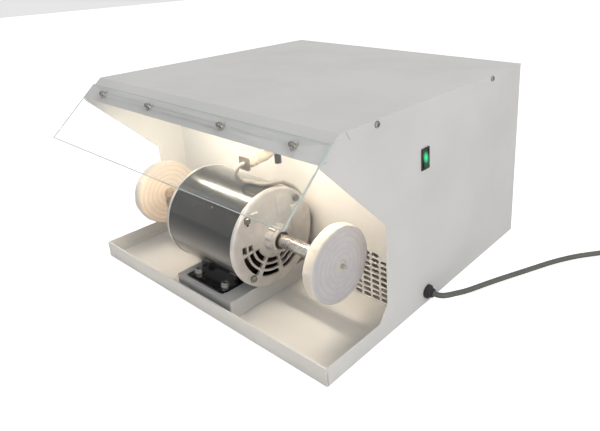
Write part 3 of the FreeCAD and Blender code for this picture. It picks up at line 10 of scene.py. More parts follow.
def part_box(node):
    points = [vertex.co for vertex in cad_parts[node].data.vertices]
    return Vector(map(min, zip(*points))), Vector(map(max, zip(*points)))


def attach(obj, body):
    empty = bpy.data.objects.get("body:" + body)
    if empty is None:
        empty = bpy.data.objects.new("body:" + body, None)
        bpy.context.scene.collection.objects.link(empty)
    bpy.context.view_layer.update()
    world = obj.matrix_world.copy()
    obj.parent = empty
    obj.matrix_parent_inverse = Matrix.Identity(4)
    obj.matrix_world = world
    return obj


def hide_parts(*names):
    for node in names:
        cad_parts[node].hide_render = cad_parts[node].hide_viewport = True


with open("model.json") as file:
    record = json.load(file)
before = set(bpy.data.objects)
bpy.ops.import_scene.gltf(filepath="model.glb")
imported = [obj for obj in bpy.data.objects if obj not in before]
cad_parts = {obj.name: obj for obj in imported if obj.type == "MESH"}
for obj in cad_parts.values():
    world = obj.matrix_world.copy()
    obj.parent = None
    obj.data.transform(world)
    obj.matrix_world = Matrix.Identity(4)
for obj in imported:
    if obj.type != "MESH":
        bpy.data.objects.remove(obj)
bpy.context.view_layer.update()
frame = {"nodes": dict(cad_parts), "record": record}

# The polishing lathe's looks, in metres: +X right, +Y to the back, +Z up, the same frame as the solids.

nodes = frame["nodes"]
owner = {node: body for body, members in frame["record"]["behaviour"]["bodies"].items() for node in members}
slot_of = {one["node"]: one["material_slot"] for one in frame["record"]["subparts"]}
MM = 0.001
SAME_PLACE = 0.002 * MM
BROW_SLOPE = math.radians(42.3)
SHIELD_GAUGE = 3 * MM
THROUGH_BOLT_HEAD = 4.5 * MM


def middle(node):
    low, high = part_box(node)
    return (low + high) / 2


# Places read from the solids

shaft = middle("motor_shaft")
bell_face = shaft.x + (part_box("through_bolts")[1].x - THROUGH_BOLT_HEAD)
shell_low, shell_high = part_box("motor_shell")
shell_radius = (shell_high.y - shell_low.y) / 2
cabinet_low, cabinet_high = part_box("top_cover")


# Finishes

def shader_of(finish):
    return finish.node_tree.nodes["Principled BSDF"]


def new_finish(name, colour, rough, metal=0.0):
    """A finish whose plain numbers sit on the shader's own sockets."""
    finish = bpy.data.materials.new(name)
    finish.use_nodes = True
    shader = shader_of(finish)
    shader.inputs["Base Color"].default_value = (*colour, 1)
    shader.inputs["Roughness"].default_value = rough
    shader.inputs["Metallic"].default_value = metal
    return finish


def place_on(finish, centre=(0, 0, 0), stretch=(1, 1, 1)):
    """Coordinates in metres from a centre, stretched along each axis."""
    tree = finish.node_tree
    coordinates = tree.nodes.new("ShaderNodeTexCoord")
    mapping = tree.nodes.new("ShaderNodeMapping")
    mapping.inputs["Location"].default_value = [-c * s for c, s in zip(centre, stretch)]
    mapping.inputs["Scale"].default_value = stretch
    tree.links.new(coordinates.outputs["Object"], mapping.inputs["Vector"])
    return mapping.outputs["Vector"]


def noise(finish, per_metre, detail=3.0, stretch=(1, 1, 1)):
    tree = finish.node_tree
    node = tree.nodes.new("ShaderNodeTexNoise")
    node.inputs["Scale"].default_value = per_metre
    node.inputs["Detail"].default_value = detail
    tree.links.new(place_on(finish, stretch=stretch), node.inputs["Vector"])
    return node.outputs["Fac"]


def waves(finish, per_metre, kind, direction, centre=(0, 0, 0), waver=0.0):
    """Straight bands or rings at a steady pitch."""
    tree = finish.node_tree
    node = tree.nodes.new("ShaderNodeTexWave")
    node.wave_type = kind
    if kind == "RINGS":
        node.rings_direction = direction
    else:
        node.bands_direction = direction
    node.inputs["Scale"].default_value = per_metre
    node.inputs["Distortion"].default_value = waver
    tree.links.new(place_on(finish, centre), node.inputs["Vector"])
    return node.outputs["Fac"]


def ramp(finish, factor, low, high):
    """Stretches the part of a pattern between two values to the whole range."""
    tree = finish.node_tree
    node = tree.nodes.new("ShaderNodeMapRange")
    node.inputs["From Min"].default_value = low
    node.inputs["From Max"].default_value = high
    tree.links.new(factor, node.inputs["Value"])
    return node.outputs["Result"]


def mixed(tree, factor, first, second):
    """Two colours mixed by a factor."""
    mix = tree.nodes.new("ShaderNodeMix")
    mix.data_type = "RGBA"
    mix.inputs["A"].default_value = (*first, 1)
    mix.inputs["B"].default_value = (*second, 1)
    tree.links.new(factor, mix.inputs["Factor"])
    return mix


def tint(finish, factor, dark, light):
    """Colours the finish between two colours, over any colour that it has."""
    tree = finish.node_tree
    mix = mixed(tree, factor, dark, light)
    base = shader_of(finish).inputs["Base Color"]
    if base.is_linked:
        tree.links.new(base.links[0].from_socket, mix.inputs["B"])
    tree.links.new(mix.outputs["Result"], base)


def darker(colour, share):
    return [value * share for value in colour]


def reckoned(tree, operation, *values):
    """One step of arithmetic on sockets and plain numbers."""
    step = tree.nodes.new("ShaderNodeMath")
    step.operation = operation
    for socket, value in zip(step.inputs, values):
        if isinstance(value, float):
            socket.default_value = value
        else:
            tree.links.new(value, socket)
    return step.outputs["Value"]


def vary_roughness(finish, factor, low, high):
    tree = finish.node_tree
    node = tree.nodes.new("ShaderNodeMapRange")
    node.inputs["To Min"].default_value = low
    node.inputs["To Max"].default_value = high
    tree.links.new(factor, node.inputs["Value"])
    tree.links.new(node.outputs["Result"], shader_of(finish).inputs["Roughness"])


def relief(finish, height, depth):
    """A bump of a real depth, laid over any bump that the finish has."""
    tree = finish.node_tree
    bump = tree.nodes.new("ShaderNodeBump")
    bump.inputs["Distance"].default_value = depth
    normal = shader_of(finish).inputs["Normal"]
    if normal.is_linked:
        tree.links.new(normal.links[0].from_socket, bump.inputs["Normal"])
    tree.links.new(height, bump.inputs["Height"])
    tree.links.new(bump.outputs["Normal"], normal)


def powder_coat(name, colour, rough=0.42):
    """Baked powder paint: an even orange peel, with faint handling marks."""
    finish = new_finish(name, colour, rough)
    tint(finish, ramp(finish, noise(finish, 7), 0.3, 0.6), darker(colour, 0.93), colour)
    vary_roughness(finish, noise(finish, 60), rough - 0.08, rough + 0.1)
    relief(finish, noise(finish, 900, detail=2), 0.06 * MM)
    return finish


def gloss_enamel(name, colour):
    """Stoved black enamel: deep and smooth, with a trace of dust."""
    finish = new_finish(name, colour, 0.2)
    shader = shader_of(finish)
    shader.inputs["Coat Weight"].default_value = 0.7
    shader.inputs["Coat Roughness"].default_value = 0.1
    dusty = [value + 0.006 for value in colour]
    tint(finish, ramp(finish, noise(finish, 26, detail=4), 0.65, 0.4), dusty, colour)
    vary_roughness(finish, noise(finish, 70, detail=3), 0.2, 0.27)
    relief(finish, noise(finish, 300, detail=2), 0.01 * MM)
    return finish


def cast_metal(name, colour):
    """Die-cast aluminium: pale, fine-grained, a little uneven."""
    finish = new_finish(name, colour, 0.45, 0.7)
    tint(finish, ramp(finish, noise(finish, 45, detail=5), 0.35, 0.7), darker(colour, 0.84), colour)
    vary_roughness(finish, noise(finish, 160), 0.36, 0.6)
    relief(finish, noise(finish, 1300, detail=4), 0.09 * MM)
    return finish


def turned_steel(name, colour, rough, pitch):
    """Bright steel with the fine rings that a lathe tool leaves."""
    finish = new_finish(name, colour, rough, 1.0)
    tint(finish, ramp(finish, noise(finish, 130, detail=4), 0.3, 0.6), darker(colour, 0.72), colour)
    vary_roughness(finish, noise(finish, 220, stretch=(6, 1, 1)), rough - 0.06, rough + 0.12)
    relief(finish, waves(finish, pitch, "BANDS", "X", waver=0.4), 0.012 * MM)
    return finish


def zinc_plate(name, colour):
    """Plated steel, a little yellower where the plate is thin."""
    finish = new_finish(name, colour, 0.3, 1.0)
    red, green, blue = colour
    thin = [red, green * 0.97, blue * 0.9]
    tint(finish, ramp(finish, noise(finish, 420, detail=3), 0.35, 0.65), thin, colour)
    vary_roughness(finish, noise(finish, 700), 0.2, 0.45)
    relief(finish, noise(finish, 2200), 0.02 * MM)
    return finish


def moulded(name, colour, rough, grain=0.04):
    """Moulded plastic or rubber with a fine spark grain."""
    finish = new_finish(name, colour, rough)
    tint(finish, ramp(finish, noise(finish, 70, detail=4), 0.3, 0.7), darker(colour, 0.8), colour)
    vary_roughness(finish, noise(finish, 240), rough - 0.08, rough + 0.1)
    relief(finish, noise(finish, 2600, detail=2), grain * MM)
    return finish


def faces_for_painted_shade(finish):
    """One on a disc's faces across the machine and nothing on its rim."""
    tree = finish.node_tree
    coordinates = tree.nodes.new("ShaderNodeTexCoord")
    parts = tree.nodes.new("ShaderNodeSeparateXYZ")
    tree.links.new(coordinates.outputs["Normal"], parts.inputs["Vector"])
    return ramp(finish, reckoned(tree, "ABSOLUTE", parts.outputs["X"]), 0.5, 0.85)


def muslin_cloth(name, side, face, ring):
    """Stitched cotton plies: weave, faint darker rings, and painted shade on the faces, which take the face
    colour while the rim stays a lit cream.
    """
    cream = (0.80, 0.74, 0.65)
    finish = new_finish(name, face, 0.92)
    shader = shader_of(finish)
    shader.inputs["Sheen Weight"].default_value = 0.3
    shader.inputs["Sheen Roughness"].default_value = 0.6
    tint(finish, ramp(finish, noise(finish, 55, detail=6), 0.3, 0.62), darker(face, 0.9), face)
    rings = waves(finish, 34, "RINGS", "X", middle(side + "_buff"), waver=1.0)
    tint(finish, ramp(finish, rings, 0.0, 0.4), ring, face)
    # Painted shade: the faces, turned from the light, keep the darker face colour, and the rim is painted the
    # lit cream.
    tint(finish, faces_for_painted_shade(finish), cream, face)
    for thread in ("Y", "Z"):
        relief(finish, waves(finish, 560, "BANDS", thread, waver=0.6), 0.12 * MM)
    relief(finish, noise(finish, 420, detail=6), 0.4 * MM)
    return finish


EDGE_FADE = 0.2 * MM
GROUND_EDGE = 0.9 * MM


def beyond(finish, centre, direction, reach):
    """One past a distance from a centre along a direction, either way, and nothing nearer."""
    tree = finish.node_tree
    along = tree.nodes.new("ShaderNodeVectorMath")
    along.operation = "DOT_PRODUCT"
    along.inputs[1].default_value = direction
    tree.links.new(place_on(finish, centre), along.inputs[0])
    away = reckoned(tree, "ABSOLUTE", along.outputs["Value"])
    return ramp(finish, away, reach - EDGE_FADE, reach)


def shield_glass():
    """Clear float glass, faintly green, with ground edges that look pale. It casts only a faint shadow."""
    clear = (0.95, 0.975, 0.98)
    finish = new_finish("shield_glass_clear", clear, 0.02)
    tree = finish.node_tree
    shader = shader_of(finish)
    shader.inputs["IOR"].default_value = 1.5
    low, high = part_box("glass_shield")
    centre = middle("glass_shield")
    half_across = (high.x - low.x) / 2
    half_down = ((high.y - low.y) - SHIELD_GAUGE * math.sin(BROW_SLOPE)) / 2 / math.cos(BROW_SLOPE)
    down = (0, math.cos(BROW_SLOPE), math.sin(BROW_SLOPE))
    edge = reckoned(tree, "MAXIMUM", beyond(finish, centre, (1, 0, 0), half_across - GROUND_EDGE),
                    beyond(finish, centre, down, half_down - GROUND_EDGE))
    tree.links.new(reckoned(tree, "SUBTRACT", 1.0, edge), shader.inputs["Transmission Weight"])
    path = tree.nodes.new("ShaderNodeLightPath")
    shade = reckoned(tree, "MULTIPLY_ADD", path.outputs["Is Shadow Ray"], -0.93, 1.0)
    tree.links.new(shade, shader.inputs["Alpha"])
    tint(finish, edge, clear, (0.52, 0.6, 0.57))
    vary_roughness(finish, ramp(finish, noise(finish, 16, detail=7), 0.5, 0.75), 0.01, 0.08)
    return finish


def glowing(name, colour, strength):
    finish = new_finish(name, colour, 0.4)
    shader = shader_of(finish)
    shader.inputs["Emission Color"].default_value = (*colour, 1)
    shader.inputs["Emission Strength"].default_value = strength
    tint(finish, noise(finish, 40), darker(colour, 0.9), colour)
    return finish


def lit_rocker():
    """Green translucent plastic with a lamp behind its upper half."""
    finish = new_finish("rocker_green", (0.01, 0.16, 0.07), 0.16)
    tree = finish.node_tree
    shader = shader_of(finish)
    bulb = middle("rocker") + Vector((0, 0, 2 * MM))
    distance = tree.nodes.new("ShaderNodeVectorMath")
    distance.operation = "LENGTH"
    tree.links.new(place_on(finish, bulb, (0.2, 1, 0.75)), distance.inputs[0])
    glow = ramp(finish, distance.outputs["Value"], 7.5 * MM, 0.5 * MM)
    tint(finish, glow, (0.004, 0.05, 0.022), (0.02, 0.3, 0.12))
    shine = mixed(tree, glow, (0, 0.012, 0.004), (0.03, 0.95, 0.36))
    tree.links.new(shine.outputs["Result"], shader.inputs["Emission Color"])
    shader.inputs["Emission Strength"].default_value = 0.85
    relief(finish, waves(finish, 220, "BANDS", "Z"), 0.08 * MM)
    return finish


def wound_copper():
    """Copper wire under dark baked varnish."""
    finish = new_finish("varnished_copper", (0.1, 0.045, 0.025), 0.35, 0.4)
    tint(finish, noise(finish, 120), (0.05, 0.025, 0.016), (0.13, 0.06, 0.03))
    relief(finish, waves(finish, 330, "RINGS", "X", shaft, waver=0.8), 0.4 * MM)
    return finish


def laminated_steel():
    finish = new_finish("laminated_steel", (0.2, 0.195, 0.19), 0.45, 0.9)
    tint(finish, noise(finish, 80), (0.12, 0.115, 0.11), (0.22, 0.215, 0.21))
    relief(finish, waves(finish, 320, "BANDS", "X"), 0.1 * MM)
    return finish


def filter_paper():
    finish = new_finish("filter_card_board", (0.5, 0.42, 0.3), 0.85)
    tint(finish, noise(finish, 300, stretch=(1, 1, 5)), (0.4, 0.33, 0.23), (0.52, 0.44, 0.32))
    relief(finish, waves(finish, 90, "BANDS", "X"), 0.3 * MM)
    return finish


def filter_felt():
    finish = new_finish("filter_fibre_white", (0.75, 0.75, 0.72), 0.95)
    tint(finish, noise(finish, 260, detail=8), (0.62, 0.61, 0.58), (0.78, 0.78, 0.75))
    relief(finish, waves(finish, 33, "BANDS", "X"), 4 * MM)
    relief(finish, noise(finish, 900, detail=6), 0.4 * MM)
    return finish


FINISHES = {
    "cabinet_paint": powder_coat("cabinet_powder_coat", (0.68, 0.672, 0.655)),
    # The riser has the cabinet's paint, darkened here as painted shade.
    "riser_paint": powder_coat("riser_powder_coat_shaded", (0.52, 0.52, 0.515), 0.36),
    "shield_glass": shield_glass(),
    "zinc_screws": zinc_plate("zinc_plated", (0.6, 0.6, 0.58)),
    "lamp_white": glowing("lamp_tube_glow", (1.0, 0.9, 0.72), 2.2),
    "white_sheet": powder_coat("white_sheet_enamel", (0.8, 0.79, 0.76), 0.3),
    "black_plastic": moulded("black_moulding", (0.018, 0.018, 0.019), 0.42),
    "green_rocker": lit_rocker(),
    "terminal_brass": turned_steel("terminal_brass_bright", (0.72, 0.52, 0.22), 0.3, 260),
    "black_shell": gloss_enamel("black_enamel", (0.012, 0.0125, 0.012)),
    "cast_bell": cast_metal("cast_aluminium", (0.66, 0.64, 0.62)),
    "core_steel": laminated_steel(),
    "copper_winding": wound_copper(),
    "bright_steel": turned_steel("turned_bright_steel", (0.62, 0.6, 0.57), 0.24, 420),
    "fan_aluminium": cast_metal("fan_casting", (0.6, 0.6, 0.6)),
    # The right buff's bluish grey face and ring colours are painted shade, for a face turned from the light.
    "muslin": muslin_cloth("muslin_right_shaded", "right", (0.66, 0.64, 0.66), (0.6, 0.575, 0.6)),
    "beige_socket": moulded("beige_moulding", (0.56, 0.5, 0.41), 0.45),
    "grey_lead": moulded("grey_flex_sheath", (0.13, 0.135, 0.115), 0.5, 0.03),
    "filter_card": filter_paper(),
    "filter_fibre": filter_felt(),
}
RIVET_PAINT = moulded("rivet_head_paint", (0.05, 0.05, 0.048), 0.3)
# Near black: the painted shade inside the bells' blind holes.
HOLE_SHADE_PAINT = moulded("shadowed_recess", (0.012, 0.012, 0.012), 0.8)
BURNISHED = zinc_plate("burnished_bolt", (0.22, 0.22, 0.215))
STITCH_THREAD = moulded("waxed_thread", (0.62, 0.53, 0.40), 0.8, 0.1)
BEIGE_SHEATH = moulded("beige_flex_sheath", (0.3, 0.275, 0.245), 0.45, 0.03)
TAUPE_MOULDING = moulded("taupe_moulding", (0.15, 0.13, 0.11), 0.4)
HUB_CARD = moulded("pressed_card", (0.66, 0.61, 0.54), 0.7, 0.08)
LEFT_MUSLIN = muslin_cloth("muslin_left", "left", (0.78, 0.67, 0.56), (0.66, 0.54, 0.43))

for node, piece in nodes.items():
    finish = FINISHES[slot_of[node]]
    for material_slot in piece.material_slots:
        material_slot.material = finish


# Ways of modelling a piece

def nothing_selected():
    if bpy.context.object and bpy.context.object.mode != "OBJECT":
        bpy.ops.object.mode_set(mode="OBJECT")
    bpy.ops.object.select_all(action="DESELECT")


def only(piece):
    nothing_selected()
    piece.select_set(True)
    bpy.context.view_layer.objects.active = piece


def settle(piece):
    """Puts the piece's place into its mesh, so that its object sits at the origin."""
    only(piece)
    bpy.ops.object.transform_apply(location=True, rotation=True, scale=True)


def started(name):
    piece = bpy.context.object
    piece.name = name
    piece.data.name = name
    return piece


def block(name, low, high):
    nothing_selected()
    bpy.ops.mesh.primitive_cube_add(size=1, location=(low + high) / 2)
    piece = started(name)
    piece.scale = high - low
    settle(piece)
    return piece


ALONG = {"x": Euler((0, math.pi / 2, 0)), "y": Euler((-math.pi / 2, 0, 0)), "z": Euler((0, 0, 0))}


def drum(name, place, radius, length, sides=48, along="z"):
    """A closed cylinder, its middle at a place."""
    nothing_selected()
    bpy.ops.mesh.primitive_cylinder_add(vertices=sides, radius=radius, depth=length, location=place,
                                        rotation=ALONG[along])
    piece = started(name)
    settle(piece)
    return piece


def ball(name, radius, segments, rings, place=(0, 0, 0)):
    nothing_selected()
    bpy.ops.mesh.primitive_uv_sphere_add(segments=segments, ring_count=rings, radius=radius, location=place)
    return started(name)


def choose(piece, kind, wanted):
    """Opens the piece in edit mode with only the wanted faces or edges selected."""
    only(piece)
    bpy.ops.object.mode_set(mode="EDIT")
    bpy.ops.mesh.select_mode(type={"faces": "FACE", "edges": "EDGE", "verts": "VERT"}[kind])
    bpy.ops.mesh.select_all(action="DESELECT")
    mesh = bmesh.from_edit_mesh(piece.data)
    for part in getattr(mesh, kind):
        part.select_set(wanted(part))
    bmesh.update_edit_mesh(piece.data)


def done(piece):
    bpy.ops.object.mode_set(mode="OBJECT")
    return piece


def facing(direction):
    direction = Vector(direction)
    return lambda face: face.normal.dot(direction) > 0.95


def stepped_face(piece, direction, steps):
    """Insets the flat face on one side again and again: each step is a width and a height."""
    choose(piece, "faces", facing(direction))
    for width, height in steps:
        bpy.ops.mesh.inset(thickness=width, depth=height)
    return done(piece)


def everything(part):
    return True


def cut(piece, place, direction, **away):
    """Cuts the whole piece along a plane: the other words say which side goes and if the cut is closed."""
    choose(piece, "verts", everything)
    bpy.ops.mesh.bisect(plane_co=place, plane_no=direction, **away)
    return done(piece)


def domed(piece, level):
    """Keeps what lies above a level."""
    return cut(piece, (0, 0, level), (0, 0, 1), clear_inner=True, use_fill=True)


def modifier(piece, kind, **settings):
    only(piece)
    added = piece.modifiers.new(kind.title(), kind)
    for key, value in settings.items():
        setattr(added, key, value)
    bpy.ops.object.modifier_apply(modifier=added.name)
    return piece


def shaded(piece, degrees):
    """Shades the piece smooth across edges that turn by less than an angle."""
    only(piece)
    bpy.ops.object.shade_smooth_by_angle(angle=math.radians(degrees))
    return piece


def rounded(piece, width, segments=3):
    """Rounds the edges of a modelled piece."""
    modifier(piece, "BEVEL", width=width, segments=segments, limit_method="ANGLE",
             angle_limit=math.radians(30))
    return shaded(piece, 35)


def joined(name, pieces):
    nothing_selected()
    for piece in pieces:
        piece.select_set(True)
    bpy.context.view_layer.objects.active = pieces[0]
    if len(pieces) > 1:
        bpy.ops.object.join()
    piece = started(name)
    settle(piece)
    return piece


def repeated(name, model, places):
    """Copies of a piece modelled round the origin, each at its place and turn, as one piece."""
    copies = []
    for place, turn in places:
        copy = model.copy()
        copy.data = model.data.copy()
        bpy.context.scene.collection.objects.link(copy)
        copy.matrix_world = Matrix.Translation(place) @ turn.to_matrix().to_4x4()
        copies.append(copy)
    bpy.data.objects.remove(model)
    return joined(name, copies)


def dressed(piece, finish, body):
    """Gives a piece its finish and the body that it rides on."""
    piece.data.materials.clear()
    piece.data.materials.append(finish)
    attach(piece, body)
    return piece


def softened(node, width):
    """A copy of a solid with its sharp edges rounded, which stands for it."""
    piece = bpy.data.objects.new(node + "_rounded", nodes[node].data.copy())
    bpy.context.scene.collection.objects.link(piece)
    only(piece)
    bpy.ops.mesh.customdata_custom_splitnormals_clear()
    choose(piece, "verts", everything)
    bpy.ops.mesh.remove_doubles(threshold=SAME_PLACE)
    bpy.ops.mesh.dissolve_limited(angle_limit=math.radians(0.5))
    done(piece)
    modifier(piece, "BEVEL", width=width, segments=2, limit_method="ANGLE",
             angle_limit=math.radians(40), use_clamp_overlap=True)
    shaded(piece, 38)
    modifier(piece, "WEIGHTED_NORMAL", keep_sharp=True, weight=80)
    dressed(piece, OWN_FINISH.get(node, FINISHES[slot_of[node]]), owner[node])
    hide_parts(node)
    return piece


# Sheet edges are folded or deburred, castings and mouldings have small radii, here in millimetres

SOFT_EDGES = {
    "base_pan": 0.7, "left_side_panel": 0.5, "right_side_panel": 0.5, "top_cover": 0.35, "riser": 0.7,
    "foot_plate": 0.8, "foot_rails": 0.5, "glass_shield": 0.6, "left_end_bell": 0.6, "right_end_bell": 0.6,
    "hub_rings": 0.5, "lamp_channel": 0.4, "switch_bezel": 0.6, "lathe_plug": 0.9, "hood_socket": 0.8,
    "socket_boot": 0.8, "left_spindle": 0.3, "right_spindle": 0.3, "blower_motor": 2.0, "blower_scroll": 0.6,
}
OWN_FINISH = {"lathe_plug": TAUPE_MOULDING}


def soft_edges():
    for node, width in SOFT_EDGES.items():
        softened(node, width * MM)


# Cords

def flex(name, points, radius, finish, body, replaced):
    """A round flex on one smooth open spline, with its route's points as control points."""
    curve = bpy.data.curves.new(name, "CURVE")
    curve.dimensions = "3D"
    spline = curve.splines.new("NURBS")
    spline.points.add(len(points) - 1)
    for knot, place in zip(spline.points, points):
        knot.co = (*place, 1)
    spline.order_u = 3
    spline.use_endpoint_u = True
    spline.resolution_u = 10
    curve.bevel_depth = radius
    curve.bevel_resolution = 5
    curve.use_fill_caps = True
    piece = bpy.data.objects.new(name, curve)
    bpy.context.scene.collection.objects.link(piece)
    dressed(piece, finish, body)
    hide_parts(*replaced)
    return piece


def line_length(piece):
    """The length of a flex's centreline."""
    bare = piece.copy()
    bare.data = piece.data.copy()
    bare.data.bevel_depth = 0
    bare.data.use_fill_caps = False
    bpy.context.scene.collection.objects.link(bare)
    bpy.context.view_layer.update()
    mesh = bpy.data.meshes.new_from_object(bare.evaluated_get(bpy.context.evaluated_depsgraph_get()))
    places = [vert.co for vert in mesh.vertices]
    total = sum((b - a).length for a, b in zip(places, places[1:]))
    bpy.data.objects.remove(bare)
    return total


CORD_RADIUS = 4.7 * MM
CORD_ROUTE = [Vector(point) * MM for point in (
    (316.5, -37.5, 21.5), (324.5, -37.5, 21.3), (332.7, -32.7, 20.7), (337.4, -23.9, 18.9), (341, -7.5, 14.5),
    (347.5, 20.5, 7), (360, 57, 4.7), (379, 99, 4.7), (403, 148, 4.7), (430, 205, 4.7), (458, 250, 4.7),
    (486, 283, 4.7), (500.3, 300, 4.7), (500.3, 322, 4.7))]
COIL_CENTRE = Vector((555, 356, 0)) * MM
COIL_TURN = 54.7 * MM
COIL_STUB = 34 * MM
TURN_POINTS = 16
COIL_TURNS = 4.25
SHIFT_FROM = 0.75


def coil_points():
    """Four turns and a quarter in two layers, from the left of the coil to its far side."""
    pitch = CORD_RADIUS * 2
    outer, inner = COIL_TURN, COIL_TURN - pitch
    low, high = CORD_RADIUS, CORD_RADIUS + pitch
    turns = [(outer, low), (inner, low), (inner, high), (outer, high), (outer, high), (outer, high)]
    widen = 1 / math.cos(math.pi / TURN_POINTS)
    points = []
    for step in range(1, int(TURN_POINTS * COIL_TURNS)):
        turn = step / TURN_POINTS
        whole = int(turn)
        (radius, height), (next_radius, next_height) = turns[whole:whole + 2]
        shift = max(0.0, (turn - whole) - SHIFT_FROM) / (1 - SHIFT_FROM)
        reach = (radius * (1 - shift) + next_radius * shift) * widen
        level = height * (1 - shift) + next_height * shift
        angle = math.pi - turn * 2 * math.pi
        points.append(COIL_CENTRE + Vector((reach * math.cos(angle), reach * math.sin(angle), level)))
    return points


def mains_flex():
    """The laid out length, the coil and a straight end into the plug."""
    entry = CORD_ROUTE[-1] + Vector((0, COIL_STUB * 0.6, 0))
    leave = COIL_CENTRE + Vector((0, COIL_TURN, 3 * CORD_RADIUS))
    ending = [leave + Vector((4 * MM, 0, 0)), leave + Vector((COIL_STUB, 0, 0))]
    route = CORD_ROUTE + [entry] + coil_points() + ending
    return flex("mains_flex", route, CORD_RADIUS, FINISHES["grey_lead"], "cabinet",
                ["mains_cord", "mains_cord_coil"])


LEAD_RADIUS = 3.5 * MM
HOOD_ROUTE = [Vector(point) * MM for point in (
    (40, -115.5, 261), (40, -115.5, 285.4), (41.5, -114, 309.8), (40, -115.5, 334.1), (40, -115.5, 358.5))]
LATHE_ROUTE = [Vector(point) * MM for point in (
    (40, -189.5, 245), (40, -199.5, 245), (40, -206, 237), (37, -204.5, 226.5), (34, -196.5, 216.5),
    (37, -188.5, 212.4), (48, -183.5, 212.2), (62, -182.5, 212.2), (73, -176.5, 212.1), (76, -163.5, 210.1),
    (76, -140.5, 205.3), (76, -109.6, 179.3), (76, -92.5, 142.8), (76, -92.5, 102.4), (76, -93, 75),
    (76, -98.5, 52), (76, -110.07, 49.17), (76, -118.73, 57.83))]
LEADS = (("hood_flex", "hood_lead", HOOD_ROUTE), ("lathe_flex", "lathe_lead", LATHE_ROUTE))


def flexes():
    cord = mains_flex()
    line_length(cord)
    for name, node, route in LEADS:
        lead = flex(name, route, LEAD_RADIUS, BEIGE_SHEATH, "cabinet", [node])
        line_length(lead)


# Buffs: the radii of the stitch rings and the stitch length are in millimetres

PLY_COUNT = 9
RIM_SIDES = 144
RIM_CURVE = 2.2 * MM
FRAY_ROOM = 1.2 * MM
SWELL_ROOM = 3 * MM
CARD_RADIUS = 11 * MM
STITCH_RINGS = (19, 28, 37, 46)
STITCH_LENGTH = 5.2
STITCH_DEPTH = 0.9 * MM


def quilted(disc, reach):
    """Pulls both faces in along the rings of stitches and round the hub."""
    steps = [(RIM_CURVE, 1.0 * MM)]
    reach -= RIM_CURVE
    for ring in reversed(STITCH_RINGS):
        steps += [(reach - (ring + 2) * MM, 0.2 * MM), (2 * MM, -0.6 * MM), (2 * MM, 0.5 * MM)]
        reach = (ring - 2) * MM
    steps += [(reach - CARD_RADIUS, 0.1 * MM), (1.5 * MM, -0.3 * MM)]
    for direction in (1, -1):
        stepped_face(disc, (direction, 0, 0), steps)


def frayed(disc, centre, radius, width, seed):
    """Ripples and frays the rim ply by ply, over a low crown."""
    chance = random.Random(seed)
    phases = [chance.uniform(0, 6.28) for _ in range(24)]
    for vert in disc.data.vertices:
        away = Vector((0, vert.co.y - centre.y, vert.co.z - centre.z))
        if away.length < radius * 0.6:
            continue
        angle = math.atan2(away.z, away.y)
        along = (vert.co.x - centre.x) / width
        ply = round((along + 0.5) * PLY_COUNT)
        ripple = math.sin(angle * 9 + phases[ply]) + 0.7 * math.sin(angle * 23 + phases[ply + 8])
        fray = 0.35 * ripple + chance.uniform(-0.45, 0.45)
        crown = 1.1 * (1 - (2 * along) ** 2) - 0.2
        rim = (away.length / radius) ** 6
        vert.co += away.normalized() * (fray + crown) * MM * rim
        vert.co.x += chance.uniform(-0.25, 0.25) * MM * rim


def hub_card(side, outwards, centre, width):
    """The pressed card disc round the spindle, on the outer face."""
    place = centre + Vector((outwards * (width / 2 - 0.8 * MM), 0, 0))
    card = drum(side + "_buff_card", place, CARD_RADIUS, 1.6 * MM, 40, "x")
    return rounded(stepped_face(card, (outwards, 0, 0), [(4 * MM, 0.0), (1 * MM, -0.5 * MM)]), 0.3 * MM)


def buff(side, outwards, finish, seed):
    """A sewn muslin disc: plies that fray at the rim, pulled in along rings of stitches."""
    low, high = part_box(side + "_buff")
    centre = (low + high) / 2
    radius = (high.z - low.z) / 2 - FRAY_ROOM
    width = high.x - low.x
    thickness = width - SWELL_ROOM
    disc = drum(side + "_muslin", centre, radius, thickness, RIM_SIDES, "x")
    quilted(disc, radius)
    for ply in range(1, PLY_COUNT):
        cut(disc, (centre.x + (ply / PLY_COUNT - 0.5) * thickness, 0, 0), (1, 0, 0))
    frayed(disc, centre, radius, width, seed)
    modifier(disc, "SUBSURF", levels=1, render_levels=1)
    only(disc)
    bpy.ops.object.shade_smooth()
    dressed(disc, finish, "lathe_rotor")
    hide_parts(side + "_buff")
    dressed(hub_card(side, outwards, centre, width), HUB_CARD, "lathe_rotor")
    dressed(stitches(side, centre, width), STITCH_THREAD, "lathe_rotor")


def stitches(side, centre, width):
    """Lock stitches round both faces, each a short raised loop of thread."""
    stitch = ball("stitch", 1, 8, 6)
    stitch.scale = (0.3 * MM, STITCH_LENGTH * 0.4 * MM, 0.35 * MM)
    settle(stitch)
    places = []
    for ring in STITCH_RINGS:
        count = round(2 * math.pi * ring / STITCH_LENGTH)
        for face in (-1, 1):
            for index in range(count):
                angle = 2 * math.pi * index / count
                place = centre + Vector((face * (width / 2 - STITCH_DEPTH), ring * MM * math.cos(angle),
                                         ring * MM * math.sin(angle)))
                places.append((place, Euler((angle, 0, 0))))
    piece = repeated(side + "_buff_stitches", stitch, places)
    only(piece)
    bpy.ops.object.shade_smooth()
    return piece


# Fasteners: the radius and height of each kind of head, and how far it happens to be turned

FOOT_HEAD = (7.4 * MM, 5.8 * MM)
COVER_HEAD = (5.2 * MM, 3.0 * MM)
REAR_HEAD = (4.8 * MM, 2.8 * MM)
SHIELD_NUT = (5.6 * MM, 5.4 * MM)
BELL_HEAD = (5.6 * MM, 5.0 * MM)
SCREW_TURN = 0.3
BOLT_TURN = 0.2
REAR_SCREW_DEPTH = 5 * MM


